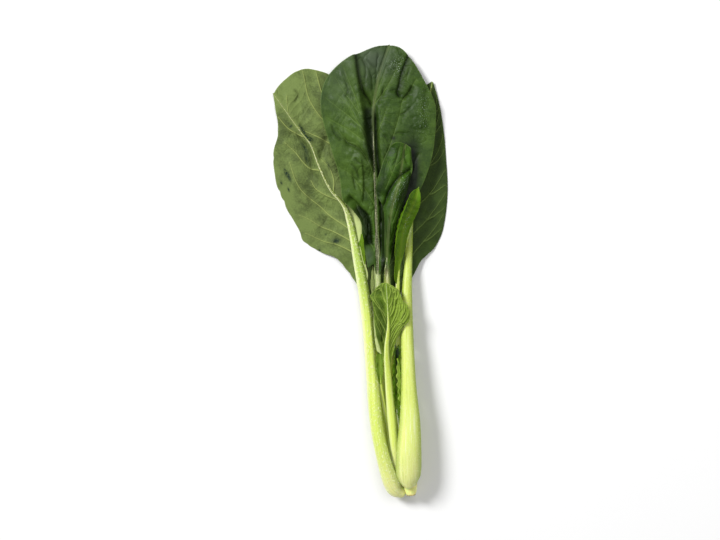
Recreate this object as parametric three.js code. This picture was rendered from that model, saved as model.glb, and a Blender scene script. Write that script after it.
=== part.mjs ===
import * as THREE from 'three';

// Komatsuna: one head, cut at the crown and lying on a flat surface.
// Millimetres, +Z up. The head is laid out with its crown at x = 0, y = 0 and its leaves
// running along +Y, with the surface it lies on at z = 0. The last lines centre it on x and y.
//
// Every leaf has a stalk, which runs on up the leaf as its midrib, and a blade.
// A leaf is drawn by its route, the line along the middle of its stalk and midrib, and by the
// outline of its blade laid flat: l along the midrib from where the blade starts, c across it.

const bladeThickness = 0.8;   // a real blade is thinner; this much carries the solid
const seam = 0.3;             // clearance between a midrib and the blade that it carries
const grooveDepth = 0.25;     // hollow of a stalk's inner face, as a share of its thickness
const sheathLength = 45;      // the stalk's base wraps round the heart over this length
const bladeSpan = 24;         // a blade follows the midrib's bends evened out over this length
const baseDetail = 0.55;      // below 1, a stalk has more steps near its base
const sampleCount = 240;      // steps used to measure along a curve
const surfaceHeight = 0;      // the head lies on this height

const colours = { stalk: 0xd4e27c, under: 0x7a9148, upper: 0x486b33, young: 0x6f9030, crown: 0xd9da84 };

// crown: the short stub that all the stalks grow from, cut square at its lower end
const crown = {
  x: 4.4, y: 0, z: 10,
  cutRadius: 3.4, waistRadius: 4.3, shoulderRadius: 4.6,
  cutEnd: -2.6, waist: 0.4, shoulder: 6, topEnd: 12.6,
  lean: 6,                    // degrees, its lower end leans to the right
};

// route: x, y, z, roll in degrees (the right side rises), width, thickness
// start: where the blade begins, measured along the route from its first point
// left, right: the blade's outline as [l, c]; both run from the base to the tip
// rise: degrees that the left and right half rise from the midrib, at five even stations
// curl: degrees per millimetre that each half goes on turning, at the same stations
// underside: the leaf lies face down, so its outer face and its midrib are on top
const leaves = {
  outer_left: {
    underside: true, tone: 'under', wrap: 1.6, steps: 26, rows: 22, columns: 16,
    route: [
      [-1.9, -3, 9.6, 34, 5.4, 3.8], [-7.2, 3.2, 12, 48, 10.8, 5], [-12, 19, 12.4, 52, 13, 5.8],
      [-16.8, 43, 10, 34, 9.8, 5.6], [-19.8, 75, 7, 14, 7.6, 5.4], [-23.2, 113, 5.5, 5, 7.2, 5],
      [-28.4, 143, 4.9, 0, 6.2, 4.2], [-35.4, 174, 4.5, 0, 3, 2.6], [-46, 188.6, 4.3, 0, 2.3, 2.1],
      [-54, 204, 4.1, 0, 2, 1.9], [-64, 223, 3.6, 0, 1.5, 1.5], [-82, 249, 1.9, 0, 0.9, 0.9],
    ],
    start: 135,
    left: [[0, 3], [10, 7], [21, 13], [27, 21], [35, 28.5], [47, 32.8], [68, 29.6], [86, 27.2],
      [98, 24.3], [107, 19], [114, 13], [122, 7.6], [130, 3.8], [136.4, 0.4]],
    right: [[0, 3], [14, 7.5], [29, 8.2], [44, 11], [62, 21.5], [78, 28], [96, 32], [112, 36],
      [124, 36.5], [136, 28.3], [140, 20], [140, 11], [138.6, 4.5], [136.4, 0.4]],
    rise: [[-14, -6], [-12, -4], [-10, -4], [-8, 1], [-5, 3]],
    curl: [[0, 0], [0, 0], [0, 0], [0, -0.1], [0, -0.25]],
  },
  broad_centre: {
    underside: false, tone: 'upper', wrap: 1.4, steps: 26, rows: 24, columns: 18,
    route: [
      [-3.5, 4, 2.8, 0, 10, 4.4], [-8, 22, 3.1, 0, 10.6, 5.6], [-12.4, 48, 3.2, 0, 9, 5.8],
      [-14.6, 80, 3.2, 0, 7.4, 5.6], [-15.7, 115, 3.6, 0, 6, 5], [-16.4, 150, 4.6, 0, 3.4, 3.8],
      [-17.5, 185, 6, 0, 2.2, 2.6], [-18.9, 220, 6.5, 0, 1.9, 2.1], [-18.6, 240, 6.1, 0, 1.7, 1.9],
      [-15.2, 260, 5, 0, 1.4, 1.5], [-8.8, 279.4, 3, 0, 0.9, 0.9],
    ],
    start: 132,
    left: [[0, 2.4], [12, 6], [26, 8.2], [36, 12.6], [46, 19.6], [60, 20.5], [76, 25.5], [94, 31],
      [108, 33.8], [118, 30.5], [127.5, 22.5], [137, 12], [143.5, 5], [146, 0.4]],
    right: [[0, 2.4], [12, 6.4], [26, 14], [42, 22.5], [58, 31], [74, 36.5], [92, 39], [108, 38.6],
      [119, 35], [129, 28], [139, 19], [146, 9.8], [147.4, 4], [146, 0.4]],
    rise: [[12, 12], [2, 8], [-4, 6], [-6, 4], [-4, 2]],
    curl: [[-0.6, -0.3], [-0.3, -0.45], [0.05, -0.5], [0, -0.5], [-0.1, -0.4]],
  },
  spoon_front: {
    underside: true, tone: 'under', wrap: 2.8, steps: 26, rows: 20, columns: 16,
    route: [
      [3.6, 3.4, 16.8, 0, 11, 4], [3.3, 11, 18.6, 0, 15, 6.4], [3.4, 25, 19, 0, 15.6, 7],
      [3.6, 44, 17.4, 0, 12.8, 6.6], [3, 66, 15.2, 0, 9.4, 6.2], [2.2, 92, 12.4, 0, 8, 5.8],
      [2, 118, 9.2, 0, 6.8, 5.2], [3, 142, 6.2, 0, 5, 4], [5, 168.8, 3.9, 0, 3.2, 2.8],
      [8.8, 203.5, 3.2, 0, 2, 2], [13.6, 232, 2.8, 0, 1.5, 1.5], [18.3, 256, 1.9, 0, 0.9, 0.9],
    ],
    start: 130,
    left: [[0, 2.6], [11, 8.5], [26, 15], [44, 20.4], [62, 22.4], [82, 21.4], [102, 17], [117, 9],
      [125, 0.4]],
    right: [[0, 2.6], [4, 8], [10, 15], [18, 20], [34, 22], [56, 21.4], [78, 17.8], [98, 12.4],
      [113, 6.8], [125, 0.4]],
    rise: [[-9, -10], [-9, -9], [-7, -7], [-6, -6], [-4, -4]],
    curl: [[0, 0], [0, 0], [0, 0], [0, 0], [0, 0]],
  },
  folded_inner: {
    underside: false, tone: 'upper', wrap: 0.6, steps: 20, rows: 16, columns: 12,
    route: [
      [-0.2, 15, 10, 0, 5, 3.4], [-3.8, 44, 9.4, 0, 5, 3.6], [-7.8, 76, 8.4, 0, 4.4, 3.4],
      [-9.2, 110, 8.2, 0, 3.6, 3.2], [-10.4, 138, 9.8, 0, 2.6, 2.4], [-9.8, 160, 11.2, -6, 1.9, 1.9],
      [-7.4, 178, 12, -10, 1.6, 1.6], [-2.6, 196, 12.4, -14, 1.3, 1.3], [0.4, 215, 12, -16, 0.9, 0.9],
    ],
    start: 124,
    left: [[0, 1.4], [10, 3.6], [24, 6], [40, 8], [54, 11], [66, 12.4], [75, 11.4], [80, 6.6],
      [79, 0.4]],
    right: [[0, 1.4], [10, 3.6], [24, 8], [42, 10], [58, 9.8], [68, 8], [76, 4.2], [79, 0.4]],
    rise: [[40, 50], [38, 46], [34, 42], [28, 38], [18, 26]],
    curl: [[-1, -2.5], [-1.5, -3.5], [-2, -4], [-2, -4.5], [-1.5, -4]],
  },
  rolled_inner: {
    underside: false, tone: 'young', wrap: 0.8, steps: 20, rows: 18, columns: 16,
    route: [
      [6.8, 14, 10.4, 50, 6.4, 3.8], [6.8, 24, 10.2, 46, 7, 4.1], [3.4, 46, 8.8, 12, 6.2, 4.2],
      [-1.6, 76, 7.8, 0, 5, 3.8], [-3.4, 106, 8.2, 0, 3.8, 3.2], [-3, 132, 9.6, 0, 2.6, 2.4],
      [-0.6, 152, 11, 0, 2, 1.9], [4, 171, 11.8, 0, 1.5, 1.5], [10, 188.5, 11.6, 0, 1, 1],
    ],
    start: 116,
    left: [[0, 1.4], [10, 6], [22, 9.4], [38, 10], [50, 7.6], [58, 3], [61, 0.4]],
    right: [[0, 1.4], [10, 4.6], [22, 7], [38, 7.6], [50, 6], [58, 2.6], [61, 0.4]],
    rise: [[30, 30], [36, 34], [36, 34], [34, 32], [26, 26]],
    curl: [[12, 6], [19, 9], [20, 10], [21, 11], [24, 12]],
  },
  young_front: {
    underside: true, tone: 'young', wrap: 0.6, steps: 18, rows: 14, columns: 12,
    route: [
      [-4.4, 15, 13.2, 0, 4.6, 3], [-7.6, 42, 12.8, 0, 4.4, 3.2], [-9.8, 70, 13.2, 0, 3.9, 3.1],
      [-10.6, 88, 14.8, 0, 3.2, 2.6], [-9.6, 103, 16.8, 0, 2, 1.9], [-10.2, 117, 17.6, 0, 1.4, 1.4],
      [-11, 129.6, 16.4, 0, 0.9, 0.9],
    ],
    start: 64,
    left: [[0, 1.8], [12, 3], [19, 6.4], [28, 10], [38, 11.4], [45, 11.6], [50, 7.4], [51.5, 3],
      [51.3, 0.4]],
    right: [[0, 1.8], [9, 4], [17, 5.8], [23, 11], [29, 14], [36, 12.8], [42, 8.6], [48, 5.8],
      [51, 3], [51.3, 0.4]],
    rise: [[-12, -4], [-18, -2], [-24, 0], [-22, -2], [-16, -4]],
    curl: [[-1, 0], [-2, 0], [-2, -0.3], [-2, -0.6], [-1.4, -0.8]],
  },
  heart_left: {
    underside: false, tone: 'young', wrap: 0.2, steps: 12, rows: 9, columns: 6,
    route: [
      [-6.6, 15, 9.4, 0, 2.6, 2], [-9.6, 40, 8.8, 0, 2.4, 2], [-13.4, 60, 8.4, 0, 2, 1.7],
      [-14.9, 76, 8.4, 0, 1.4, 1.3], [-15.2, 98, 9.2, 0, 0.9, 0.9],
    ],
    start: 52,
    left: [[0, 0.8], [8, 2], [18, 2.2], [27, 1.6], [31, 0.4]],
    right: [[0, 0.8], [8, 2.6], [18, 3], [27, 2], [31, 0.4]],
    rise: [[24, 20], [24, 18], [20, 14], [16, 10], [16, 10]],
    curl: [[0, 0], [0, 0], [0, 0], [0, 0], [0, 0]],
  },
  heart_right: {
    underside: false, tone: 'young', wrap: 0.2, steps: 12, rows: 10, columns: 6,
    route: [
      [2.6, 15, 13, 0, 2.6, 1.9], [-1.6, 36, 12.4, 0, 2.2, 1.8], [-4.2, 54, 12, 0, 1.7, 1.5],
      [-4.6, 70, 12, 0, 1.3, 1.2], [-4.3, 87, 12.2, 0, 0.9, 0.9],
    ],
    start: 33,
    left: [[0, 0.8], [10, 2], [22, 2.4], [34, 1.8], [40, 0.4]],
    right: [[0, 0.8], [10, 1.8], [22, 2], [34, 1.6], [40, 0.4]],
    rise: [[25, 25], [25, 25], [25, 25], [25, 25], [25, 25]],
    curl: [[0, 0], [0, 0], [0, 0], [0, 0], [0, 0]],
  },
};

const stalkSides = 12;
const bendStations = 4;       // rise and curl are given at bendStations + 1 places

const radians = THREE.MathUtils.degToRad;
const clamp = THREE.MathUtils.clamp;

// a smooth curve through rows of three numbers
function curveThrough(rows) {
  const points = rows.map(([a, b, c = 0]) => new THREE.Vector3(a, b, c));
  const curve = new THREE.CatmullRomCurve3(points, false, 'catmullrom', 0.5);
  curve.arcLengthDivisions = sampleCount;
  return curve;
}

// the route as a curve, with its frame and its section at any length along it
function readRoute(leaf) {
  const middle = curveThrough(leaf.route);
  const section = curveThrough(leaf.route.map((row) => row.slice(3)));
  const length = middle.getLength();
  function pointAt(distance) {
    const inside = clamp(distance, 0, length);
    const u = middle.getUtoTmapping(inside / length);
    const tangent = middle.getTangent(u);
    return { u, tangent, point: middle.getPoint(u).addScaledVector(tangent, distance - inside) };
  }
  // span: the frame is square to the chord over this length each way, or to the curve where it is 0
  function at(distance, span = 0) {
    const { u, tangent, point } = pointAt(distance);
    const [roll, width, thickness] = section.getPoint(u).toArray();
    if (span > 0) {
      tangent.subVectors(pointAt(distance + span).point, pointAt(distance - span).point).normalize();
    }
    const side = new THREE.Vector3().crossVectors(tangent, new THREE.Vector3(0, 0, 1)).normalize();
    const up = new THREE.Vector3().crossVectors(side, tangent);
    side.applyAxisAngle(tangent, -radians(roll));
    up.applyAxisAngle(tangent, -radians(roll));
    return { point, side, up, width, thickness };
  }
  return { length, at };
}

// a closed skin over a row of loops, all with the same number of points; each loop turns
// clockwise as the route leaves it, and closeEnd fills the first and the last loop
function skinLoops(loops, closeEnd) {
  const around = loops[0].length;
  const position = loops.flatMap((loop) => loop.flatMap((point) => point.toArray()));
  const index = [];
  for (let row = 0; row + 1 < loops.length; row += 1) {
    for (let k = 0; k < around; k += 1) {
      const a = row * around + k;
      const b = row * around + (k + 1) % around;
      index.push(a, b, b + around, a, b + around, a + around);
    }
  }
  [0, loops.length - 1].forEach((row) => {
    const faces = closeEnd(loops[row], row * around, position);
    faces.forEach(([a, b, c]) => index.push(...(row === 0 ? [a, c, b] : [a, b, c])));
  });
  const geometry = new THREE.BufferGeometry();
  geometry.setAttribute('position', new THREE.Float32BufferAttribute(position, 3));
  geometry.setIndex(index);
  geometry.computeVertexNormals();
  return geometry;
}

// a round end is a fan about its middle
function fanEnd(loop, first, position) {
  const middle = new THREE.Vector3();
  loop.forEach((point) => middle.addScaledVector(point, 1 / loop.length));
  const hub = position.length / 3;
  position.push(...middle.toArray());
  return loop.map((point, k) => [hub, first + k, first + (k + 1) % loop.length]);
}

// a thin flat end is filled across, from one skin to the other
function stripEnd(loop, first) {
  const faces = [];
  for (let k = 0; k + 1 < loop.length / 2; k += 1) {
    const [a, b] = [first + k, first + k + 1];
    const [c, d] = [first + loop.length - 2 - k, first + loop.length - 1 - k];
    faces.push([a, b, c], [a, c, d]);
  }
  return faces;
}

// a stalk and its midrib: oval outside, hollowed on the inner face, wrapped at the base
function stalkGeometry(leaf, route) {
  const inner = leaf.underside ? -1 : 1;
  const loops = [];
  for (let step = 0; step <= leaf.steps; step += 1) {
    const share = step / leaf.steps;
    const distance = route.length * THREE.MathUtils.lerp(share ** 2, share, baseDetail);
    const { point, side, up, width, thickness } = route.at(distance);
    const wrap = leaf.wrap * Math.max(0, 1 - distance / sheathLength);
    const loop = [];
    for (let k = 0; k < stalkSides; k += 1) {
      const angle = -2 * Math.PI * k / stalkSides;
      const across = Math.cos(angle);
      let depth = Math.sin(angle) * thickness / 2;
      if (depth * inner > 0) depth -= inner * grooveDepth * thickness * (1 - across * across);
      depth += inner * wrap * across * across;
      const vertex = point.clone().addScaledVector(side, across * width / 2).addScaledVector(up, depth);
      vertex.z = Math.max(vertex.z, surfaceHeight);
      loop.push(vertex);
    }
    loops.push(loop);
  }
  return skinLoops(loops, fanEnd);
}

// a place on the blade: from the midrib it sets off at the rise angle and goes on turning by the curl
function bladePoint(leaf, route, bend, l, c) {
  const fraction = clamp(l / (route.length - leaf.start), 0, 1);
  const rise = bend.rise.getPoint(fraction);
  const curl = bend.curl.getPoint(fraction);
  const right = c > 0;
  const turn = radians(right ? curl.y : curl.x);
  const first = radians(right ? rise.y : rise.x);
  const reach = Math.abs(c);
  const last = first + turn * reach;
  const straight = Math.abs(turn) < 1e-6;
  const along = straight ? reach * Math.cos(first) : (Math.sin(last) - Math.sin(first)) / turn;
  const lift = straight ? reach * Math.sin(first) : (Math.cos(first) - Math.cos(last)) / turn;
  const { point, side, up, thickness } = route.at(leaf.start + l, bladeSpan);
  const outward = side.clone().multiplyScalar(right ? 1 : -1);
  const offset = (leaf.underside ? -1 : 1) * (thickness / 2 + seam + bladeThickness / 2);
  const middle = point.clone().addScaledVector(up, offset + lift).addScaledVector(outward, along);
  const normal = up.clone().multiplyScalar(Math.cos(last)).addScaledVector(outward, -Math.sin(last));
  if (middle.z < surfaceHeight + bladeThickness / 2) {   // it lies flat on the surface
    middle.z = surfaceHeight + bladeThickness / 2;
    normal.set(0, 0, 1);
  }
  return { middle, normal };
}

// a blade: an upper and a lower skin over the same grid, joined along the margin
function bladeGeometry(leaf, route) {
  const left = curveThrough(leaf.left.map(([l, c]) => [l, -c]));
  const right = curveThrough(leaf.right);
  const bend = { rise: curveThrough(leaf.rise), curl: curveThrough(leaf.curl) };
  const reach = route.length - leaf.start;
  const half = leaf.columns / 2;
  const loops = [];
  for (let row = 0; row <= leaf.rows; row += 1) {
    const u = row / leaf.rows;
    const upper = [];
    const lower = [];
    for (let column = 0; column <= leaf.columns; column += 1) {
      const t = (column - half) / half;
      const edge = (t < 0 ? left : right).getPointAt(u);
      const l = THREE.MathUtils.lerp(u * reach, edge.x, Math.abs(t));
      const { middle, normal } = bladePoint(leaf, route, bend, l, edge.y * Math.abs(t) + 1e-9 * t);
      upper.push(middle.clone().addScaledVector(normal, bladeThickness / 2));
      lower.unshift(middle.clone().addScaledVector(normal, -bladeThickness / 2));
    }
    const loop = [...upper, ...lower];
    loop.forEach((point) => { point.z = Math.max(point.z, surfaceHeight); });
    loops.push(loop);
  }
  return skinLoops(loops, stripEnd);
}

function crownGeometry() {
  const profile = [
    [0, crown.cutEnd], [crown.cutRadius, crown.cutEnd], [crown.waistRadius, crown.waist],
    [crown.shoulderRadius, crown.shoulder], [crown.cutRadius, crown.topEnd - 2], [0, crown.topEnd],
  ];
  return new THREE.LatheGeometry(profile.map(([r, y]) => new THREE.Vector2(r, y)), 24);
}

function piece(name, geometry, colour, roughness) {
  const material = new THREE.MeshStandardMaterial({ color: colour, roughness, metalness: 0 });
  const mesh = new THREE.Mesh(geometry, material);
  mesh.name = name;
  return mesh;
}

const head = new THREE.Group();
const crownPiece = piece('crown', crownGeometry(), colours.crown, 0.5);
crownPiece.position.set(crown.x, crown.y, crown.z);
crownPiece.rotation.z = radians(crown.lean);
head.add(crownPiece);
for (const [name, leaf] of Object.entries(leaves)) {
  const route = readRoute(leaf);
  head.add(piece(`${name}_stalk`, stalkGeometry(leaf, route), colours.stalk, 0.42));
  head.add(piece(`${name}_blade`, bladeGeometry(leaf, route), colours[leaf.tone], 0.5));
}

// the origin is under the middle of the head, on the surface
head.updateMatrixWorld(true);
const centre = new THREE.Box3().setFromObject(head, true).getCenter(new THREE.Vector3());
head.position.set(-centre.x, -centre.y, 0);

export default head;
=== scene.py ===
import math
import bpy
import numpy as np
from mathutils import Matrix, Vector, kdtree


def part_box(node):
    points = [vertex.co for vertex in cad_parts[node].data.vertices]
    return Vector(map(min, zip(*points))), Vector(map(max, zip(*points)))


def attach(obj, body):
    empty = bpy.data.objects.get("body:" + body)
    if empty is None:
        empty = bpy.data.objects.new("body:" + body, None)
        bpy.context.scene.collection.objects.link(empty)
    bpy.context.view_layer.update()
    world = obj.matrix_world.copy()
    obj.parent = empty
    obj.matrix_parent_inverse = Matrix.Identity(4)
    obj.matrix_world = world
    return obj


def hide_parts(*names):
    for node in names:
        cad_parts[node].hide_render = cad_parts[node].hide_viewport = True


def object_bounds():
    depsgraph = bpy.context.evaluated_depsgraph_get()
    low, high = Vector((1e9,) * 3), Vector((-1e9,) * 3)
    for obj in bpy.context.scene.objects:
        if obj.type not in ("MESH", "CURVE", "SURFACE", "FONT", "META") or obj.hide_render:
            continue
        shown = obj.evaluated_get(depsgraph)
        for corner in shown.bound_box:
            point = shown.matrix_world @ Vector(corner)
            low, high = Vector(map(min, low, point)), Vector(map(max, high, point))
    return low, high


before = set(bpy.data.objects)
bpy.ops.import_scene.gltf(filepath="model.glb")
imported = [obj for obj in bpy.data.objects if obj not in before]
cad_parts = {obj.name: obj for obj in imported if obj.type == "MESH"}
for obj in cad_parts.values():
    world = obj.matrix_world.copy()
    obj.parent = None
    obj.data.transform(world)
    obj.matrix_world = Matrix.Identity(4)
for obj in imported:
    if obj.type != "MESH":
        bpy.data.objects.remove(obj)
cadLow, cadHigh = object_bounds()
print("frame: %d nodes, %.0f mm long" % (len(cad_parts), 1000 * (cadHigh.y - cadLow.y)))

mm = 0.001
scene = bpy.context.scene

# The head lies along Y with its crown at the near end, and the camera looks straight down on it.
view = {
    "height": 0.9,          # camera above the surface
    "frameWidth": 0.4536,   # how wide a strip of the surface it sees
    "sensor": 36.0,
}
light = {
    "sky": 0.30,
    "key": {"energy": 148.0, "size": 1.3, "place": (-2.4, 1.7, 2.7)},
    "fill": {"energy": 4.0, "size": 0.9, "place": (0.35, 0.3, 1.1)},
}
floorLook = {"half": 3.0, "albedo": 0.93, "roughness": 0.9, "gloss": 0.05}


def makeCamera():
    lens = bpy.data.cameras.new("topCamera")
    lens.sensor_width = view["sensor"]
    lens.lens = view["sensor"] * view["height"] / view["frameWidth"]
    camera = bpy.data.objects.new("topCamera", lens)
    camera.location = (0, 0, view["height"])
    scene.collection.objects.link(camera)
    scene.camera = camera


def makeLight(name, settings):
    lamp = bpy.data.lights.new(name, "AREA")
    lamp.shape = "DISK"
    lamp.energy = settings["energy"]
    lamp.size = settings["size"]
    piece = bpy.data.objects.new(name, lamp)
    piece.location = settings["place"]
    piece.rotation_euler = (-piece.location).to_track_quat("-Z", "Y").to_euler()
    scene.collection.objects.link(piece)


def makeFloor():
    half = floorLook["half"]
    mesh = bpy.data.meshes.new("floor")
    corners = [(-half, -half, 0), (half, -half, 0), (half, half, 0), (-half, half, 0)]
    mesh.from_pydata(corners, [], [(0, 1, 2, 3)])
    floor = bpy.data.objects.new("floor", mesh)
    floor.location.z = cadLow.z
    scene.collection.objects.link(floor)
    material = bpy.data.materials.new("paleFloor")
    material.use_nodes = True
    shader = material.node_tree.nodes["Principled BSDF"]
    shader.inputs["Base Color"].default_value = (*[floorLook["albedo"]] * 3, 1)
    shader.inputs["Roughness"].default_value = floorLook["roughness"]
    shader.inputs["Specular IOR Level"].default_value = floorLook["gloss"]
    mesh.materials.append(material)


def makeSky():
    sky = bpy.data.worlds.new("paleSky")
    sky.use_nodes = True
    sky.node_tree.nodes["Background"].inputs["Color"].default_value = (1, 1, 1, 1)
    sky.node_tree.nodes["Background"].inputs["Strength"].default_value = light["sky"]
    scene.world = sky


makeCamera()
makeLight("keyLight", light["key"])
makeLight("fillLight", light["fill"])
makeFloor()
makeSky()
scene.view_settings.view_transform = "Standard"
print("camera, lights and floor are in place")

# Leaf measures are millimetres, laid out from the crown: l runs along a leaf's midrib from where its
# blade starts, and c across the blade, to the left below zero and to the right above it.
spanSteps = 30      # samples between two points of a curve
bladeSpan = 24      # a blade follows the midrib's bends evened out over this length
stalkSpan = 1.5     # and a stalk over this one
headingStep = 0.5   # a route's heading is taken this far to each side
foldStep = 0.6      # between the points of a fold's line
tableGap = 0.06     # the lowest a leaf comes to the surface it lies on


def unit(vectors):
    return vectors / np.maximum(np.linalg.norm(vectors, axis=-1, keepdims=True), 1e-9)


def smooth(values, low, high):
    share = np.clip((values - low) / (high - low), 0, 1)
    return share * share * (3 - 2 * share)


def splineTable(rows, lengthColumns=2):
    # samples of a smooth curve through the rows, and the length run at each
    points = np.array(rows, float)
    ends = np.vstack([2 * points[0] - points[1], points, 2 * points[-1] - points[-2]])
    t = np.linspace(0, 1, spanSteps, endpoint=False)[:, None]
    parts = []
    for k in range(len(points) - 1):
        p0, p1, p2, p3 = ends[k:k + 4]
        v0, v1 = (p2 - p0) / 2, (p3 - p1) / 2
        parts.append((2 * p1 - 2 * p2 + v0 + v1) * t ** 3
                     + (3 * p2 - 3 * p1 - 2 * v0 - v1) * t ** 2 + v0 * t + p1)
    table = np.vstack(parts + [points[-1:]])
    steps = np.linalg.norm(np.diff(table[:, :lengthColumns], axis=0), axis=1)
    return table, np.concatenate([[0], np.cumsum(steps)])


def lookUp(table, run, where):
    return np.stack([np.interp(where, run, column) for column in table.T], axis=-1)


def evenLine(rows, step):
    # a smooth line through the rows, in even steps
    table, run = splineTable(rows)
    return lookUp(table, run, np.linspace(0, run[-1], max(int(run[-1] / step), 4)))


def pointsAlong(route, distance):
    # a route's points, and its roll, width and thickness; past its ends it runs on straight
    table, run = route
    inside = np.clip(distance, 0, run[-1])
    row = lookUp(table, run, inside)
    ahead = lookUp(table[:, :3], run, np.clip(inside + headingStep, 0, run[-1]))
    behind = lookUp(table[:, :3], run, np.clip(inside - headingStep, 0, run[-1]))
    past = np.asarray(distance - inside)[..., None]
    return row[..., :3] + unit(ahead - behind) * past, row[..., 3:]


def framesAlong(route, distance, span):
    point, section = pointsAlong(route, distance)
    tangent = unit(pointsAlong(route, distance + span)[0] - pointsAlong(route, distance - span)[0])
    side = unit(np.cross(tangent, (0.0, 0.0, 1.0)))
    up = np.cross(side, tangent)
    roll = np.radians(section[..., 0])[..., None]
    rolledSide = side * np.cos(roll) + up * np.sin(roll)
    rolledUp = up * np.cos(roll) - side * np.sin(roll)
    return point, rolledSide, rolledUp, section[..., 1], section[..., 2]


def softNoise(a, b, size, seed):
    # smooth random hills between -1 and 1, about size across
    cells, away = 64, 20.0
    hills = np.random.default_rng(seed).uniform(-1, 1, (cells, cells))
    x, y = a / size + away, b / size + away
    i, j = np.floor(x).astype(int), np.floor(y).astype(int)
    fx, fy = x - i, y - j
    fx, fy = fx * fx * (3 - 2 * fx), fy * fy * (3 - 2 * fy)
    near, far = [hills[i % cells, row % cells] * (1 - fx) + hills[(i + 1) % cells, row % cells] * fx
                 for row in (j, j + 1)]
    return near * (1 - fy) + far * fy


def addToScene(name, mesh, values):
    for key, value in values.items():
        kind, field = ("FLOAT_VECTOR", "vector") if value.ndim == 2 else ("FLOAT", "value")
        attribute = mesh.attributes.new(key, kind, "POINT")
        attribute.data.foreach_set(field, value.astype(np.float32).ravel())
    mesh.polygons.foreach_set("use_smooth", np.ones(len(mesh.polygons), bool))
    piece = bpy.data.objects.new(name, mesh)
    scene.collection.objects.link(piece)
    return piece


def pieceName(leaf, part):
    first, *others = leaf["node"].split("_")
    return first + "".join(word.capitalize() for word in others) + part


def makeMesh(name, points, faces, values, slots):
    # faces is an array of four corners to a face, and slots gives each face's material
    mesh = bpy.data.meshes.new(name)
    place = (points + origin) * mm
    mesh.vertices.add(len(place))
    mesh.vertices.foreach_set("co", place.astype(np.float32).ravel())
    mesh.loops.add(faces.size)
    mesh.loops.foreach_set("vertex_index", faces.astype(np.int32).ravel())
    mesh.polygons.add(len(faces))
    mesh.polygons.foreach_set("loop_start", np.arange(0, faces.size, faces.shape[1], dtype=np.int32))
    mesh.polygons.foreach_set("material_index", slots.astype(np.int32))
    mesh.update(calc_edges=True)
    return addToScene(name, mesh, values)


def makeLoft(name, rings, hubs, values, flip=False):
    # a closed skin through rings of points, each end closed to its hub
    rows, sides = rings.shape[:2]
    number = np.arange(rows * sides).reshape(rows, sides)
    beside = np.roll(number, -1, axis=1)
    quads = np.stack([number[:-1], number[1:], beside[1:], beside[:-1]], axis=-1).reshape(-1, 4)
    first = np.stack([number[0], beside[0], np.full(sides, rows * sides)], axis=-1)
    last = np.stack([beside[-1], number[-1], np.full(sides, rows * sides + 1)], axis=-1)
    faces = [face for part in (quads, first, last) for face in (part[:, ::-1] if flip else part).tolist()]
    mesh = bpy.data.meshes.new(name)
    points = np.vstack([rings.reshape(-1, 3), hubs])
    mesh.from_pydata(((points + origin) * mm).tolist(), [], faces)
    closed = {key: np.concatenate([value, value[:1], value[-1:]]) for key, value in values.items()}
    return addToScene(name, mesh, closed)


laidArea = {"corner": (-120.0, -40.0), "columns": 240, "rows": 420}     # in cells of 1 mm


class HeightMap:
    # the top of everything laid so far, in cells over the surface
    def __init__(self, area):
        self.corner = area["corner"]
        self.top = np.full((area["columns"], area["rows"]), -1.0)

    def cells(self, points):
        at = np.floor(points[..., :2] - self.corner).astype(int)
        columns, rows = self.top.shape
        return np.clip(at[..., 0], 0, columns - 1), np.clip(at[..., 1], 0, rows - 1)

    def add(self, points):
        i, j = self.cells(points)
        np.maximum.at(self.top, (i.ravel(), j.ravel()), points[..., 2].ravel())

    def under(self, points):
        grown = self.top
        for shift in ((-1, 0), (1, 0), (0, -1), (0, 1)):
            grown = np.maximum(grown, np.roll(self.top, shift, (0, 1)))
        i, j = self.cells(points)
        return grown[i, j]


laid = HeightMap(laidArea)


def evenOut(values, passes):
    for _ in range(passes):
        padded = np.pad(values, 1, mode="edge")
        values = (padded[:-2, 1:-1] + padded[2:, 1:-1] + padded[1:-1, :-2] + padded[1:-1, 2:]
                  + 2 * padded[1:-1, 1:-1]) / 6
    return values


# how veins run: those drawn in even steps, and the others grown out to the margin
growth = {
    "step": 0.35, "points": 90, "midPoints": 400,
    "first": 0.03, "room": 0.82,    # where side veins leave the midrib, as shares of its length
    "jitter": 0.2, "wander": 0.012, "turn": 0.09,
    "slack": 0.45,                  # how much less the last ones sweep toward the tip than the first
    "bend": 1.25, "hook": 0.2, "last": 0.985,
    "forkAt": (0.42, 0.6), "forkBend": 0.8, "forkLast": 0.98,
    "tips": {"side": 0.4, "mid": 0.3, "cross": 0.8},
}
crossing = {
    "lag": 0.6, "jitter": (0.3, 0.4),       # in steps between one cross vein and the next
    "gap": (1.5, 26), "step": 0.4, "fewest": 8, "turn": 0.16, "width": 0.5,
}


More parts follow.
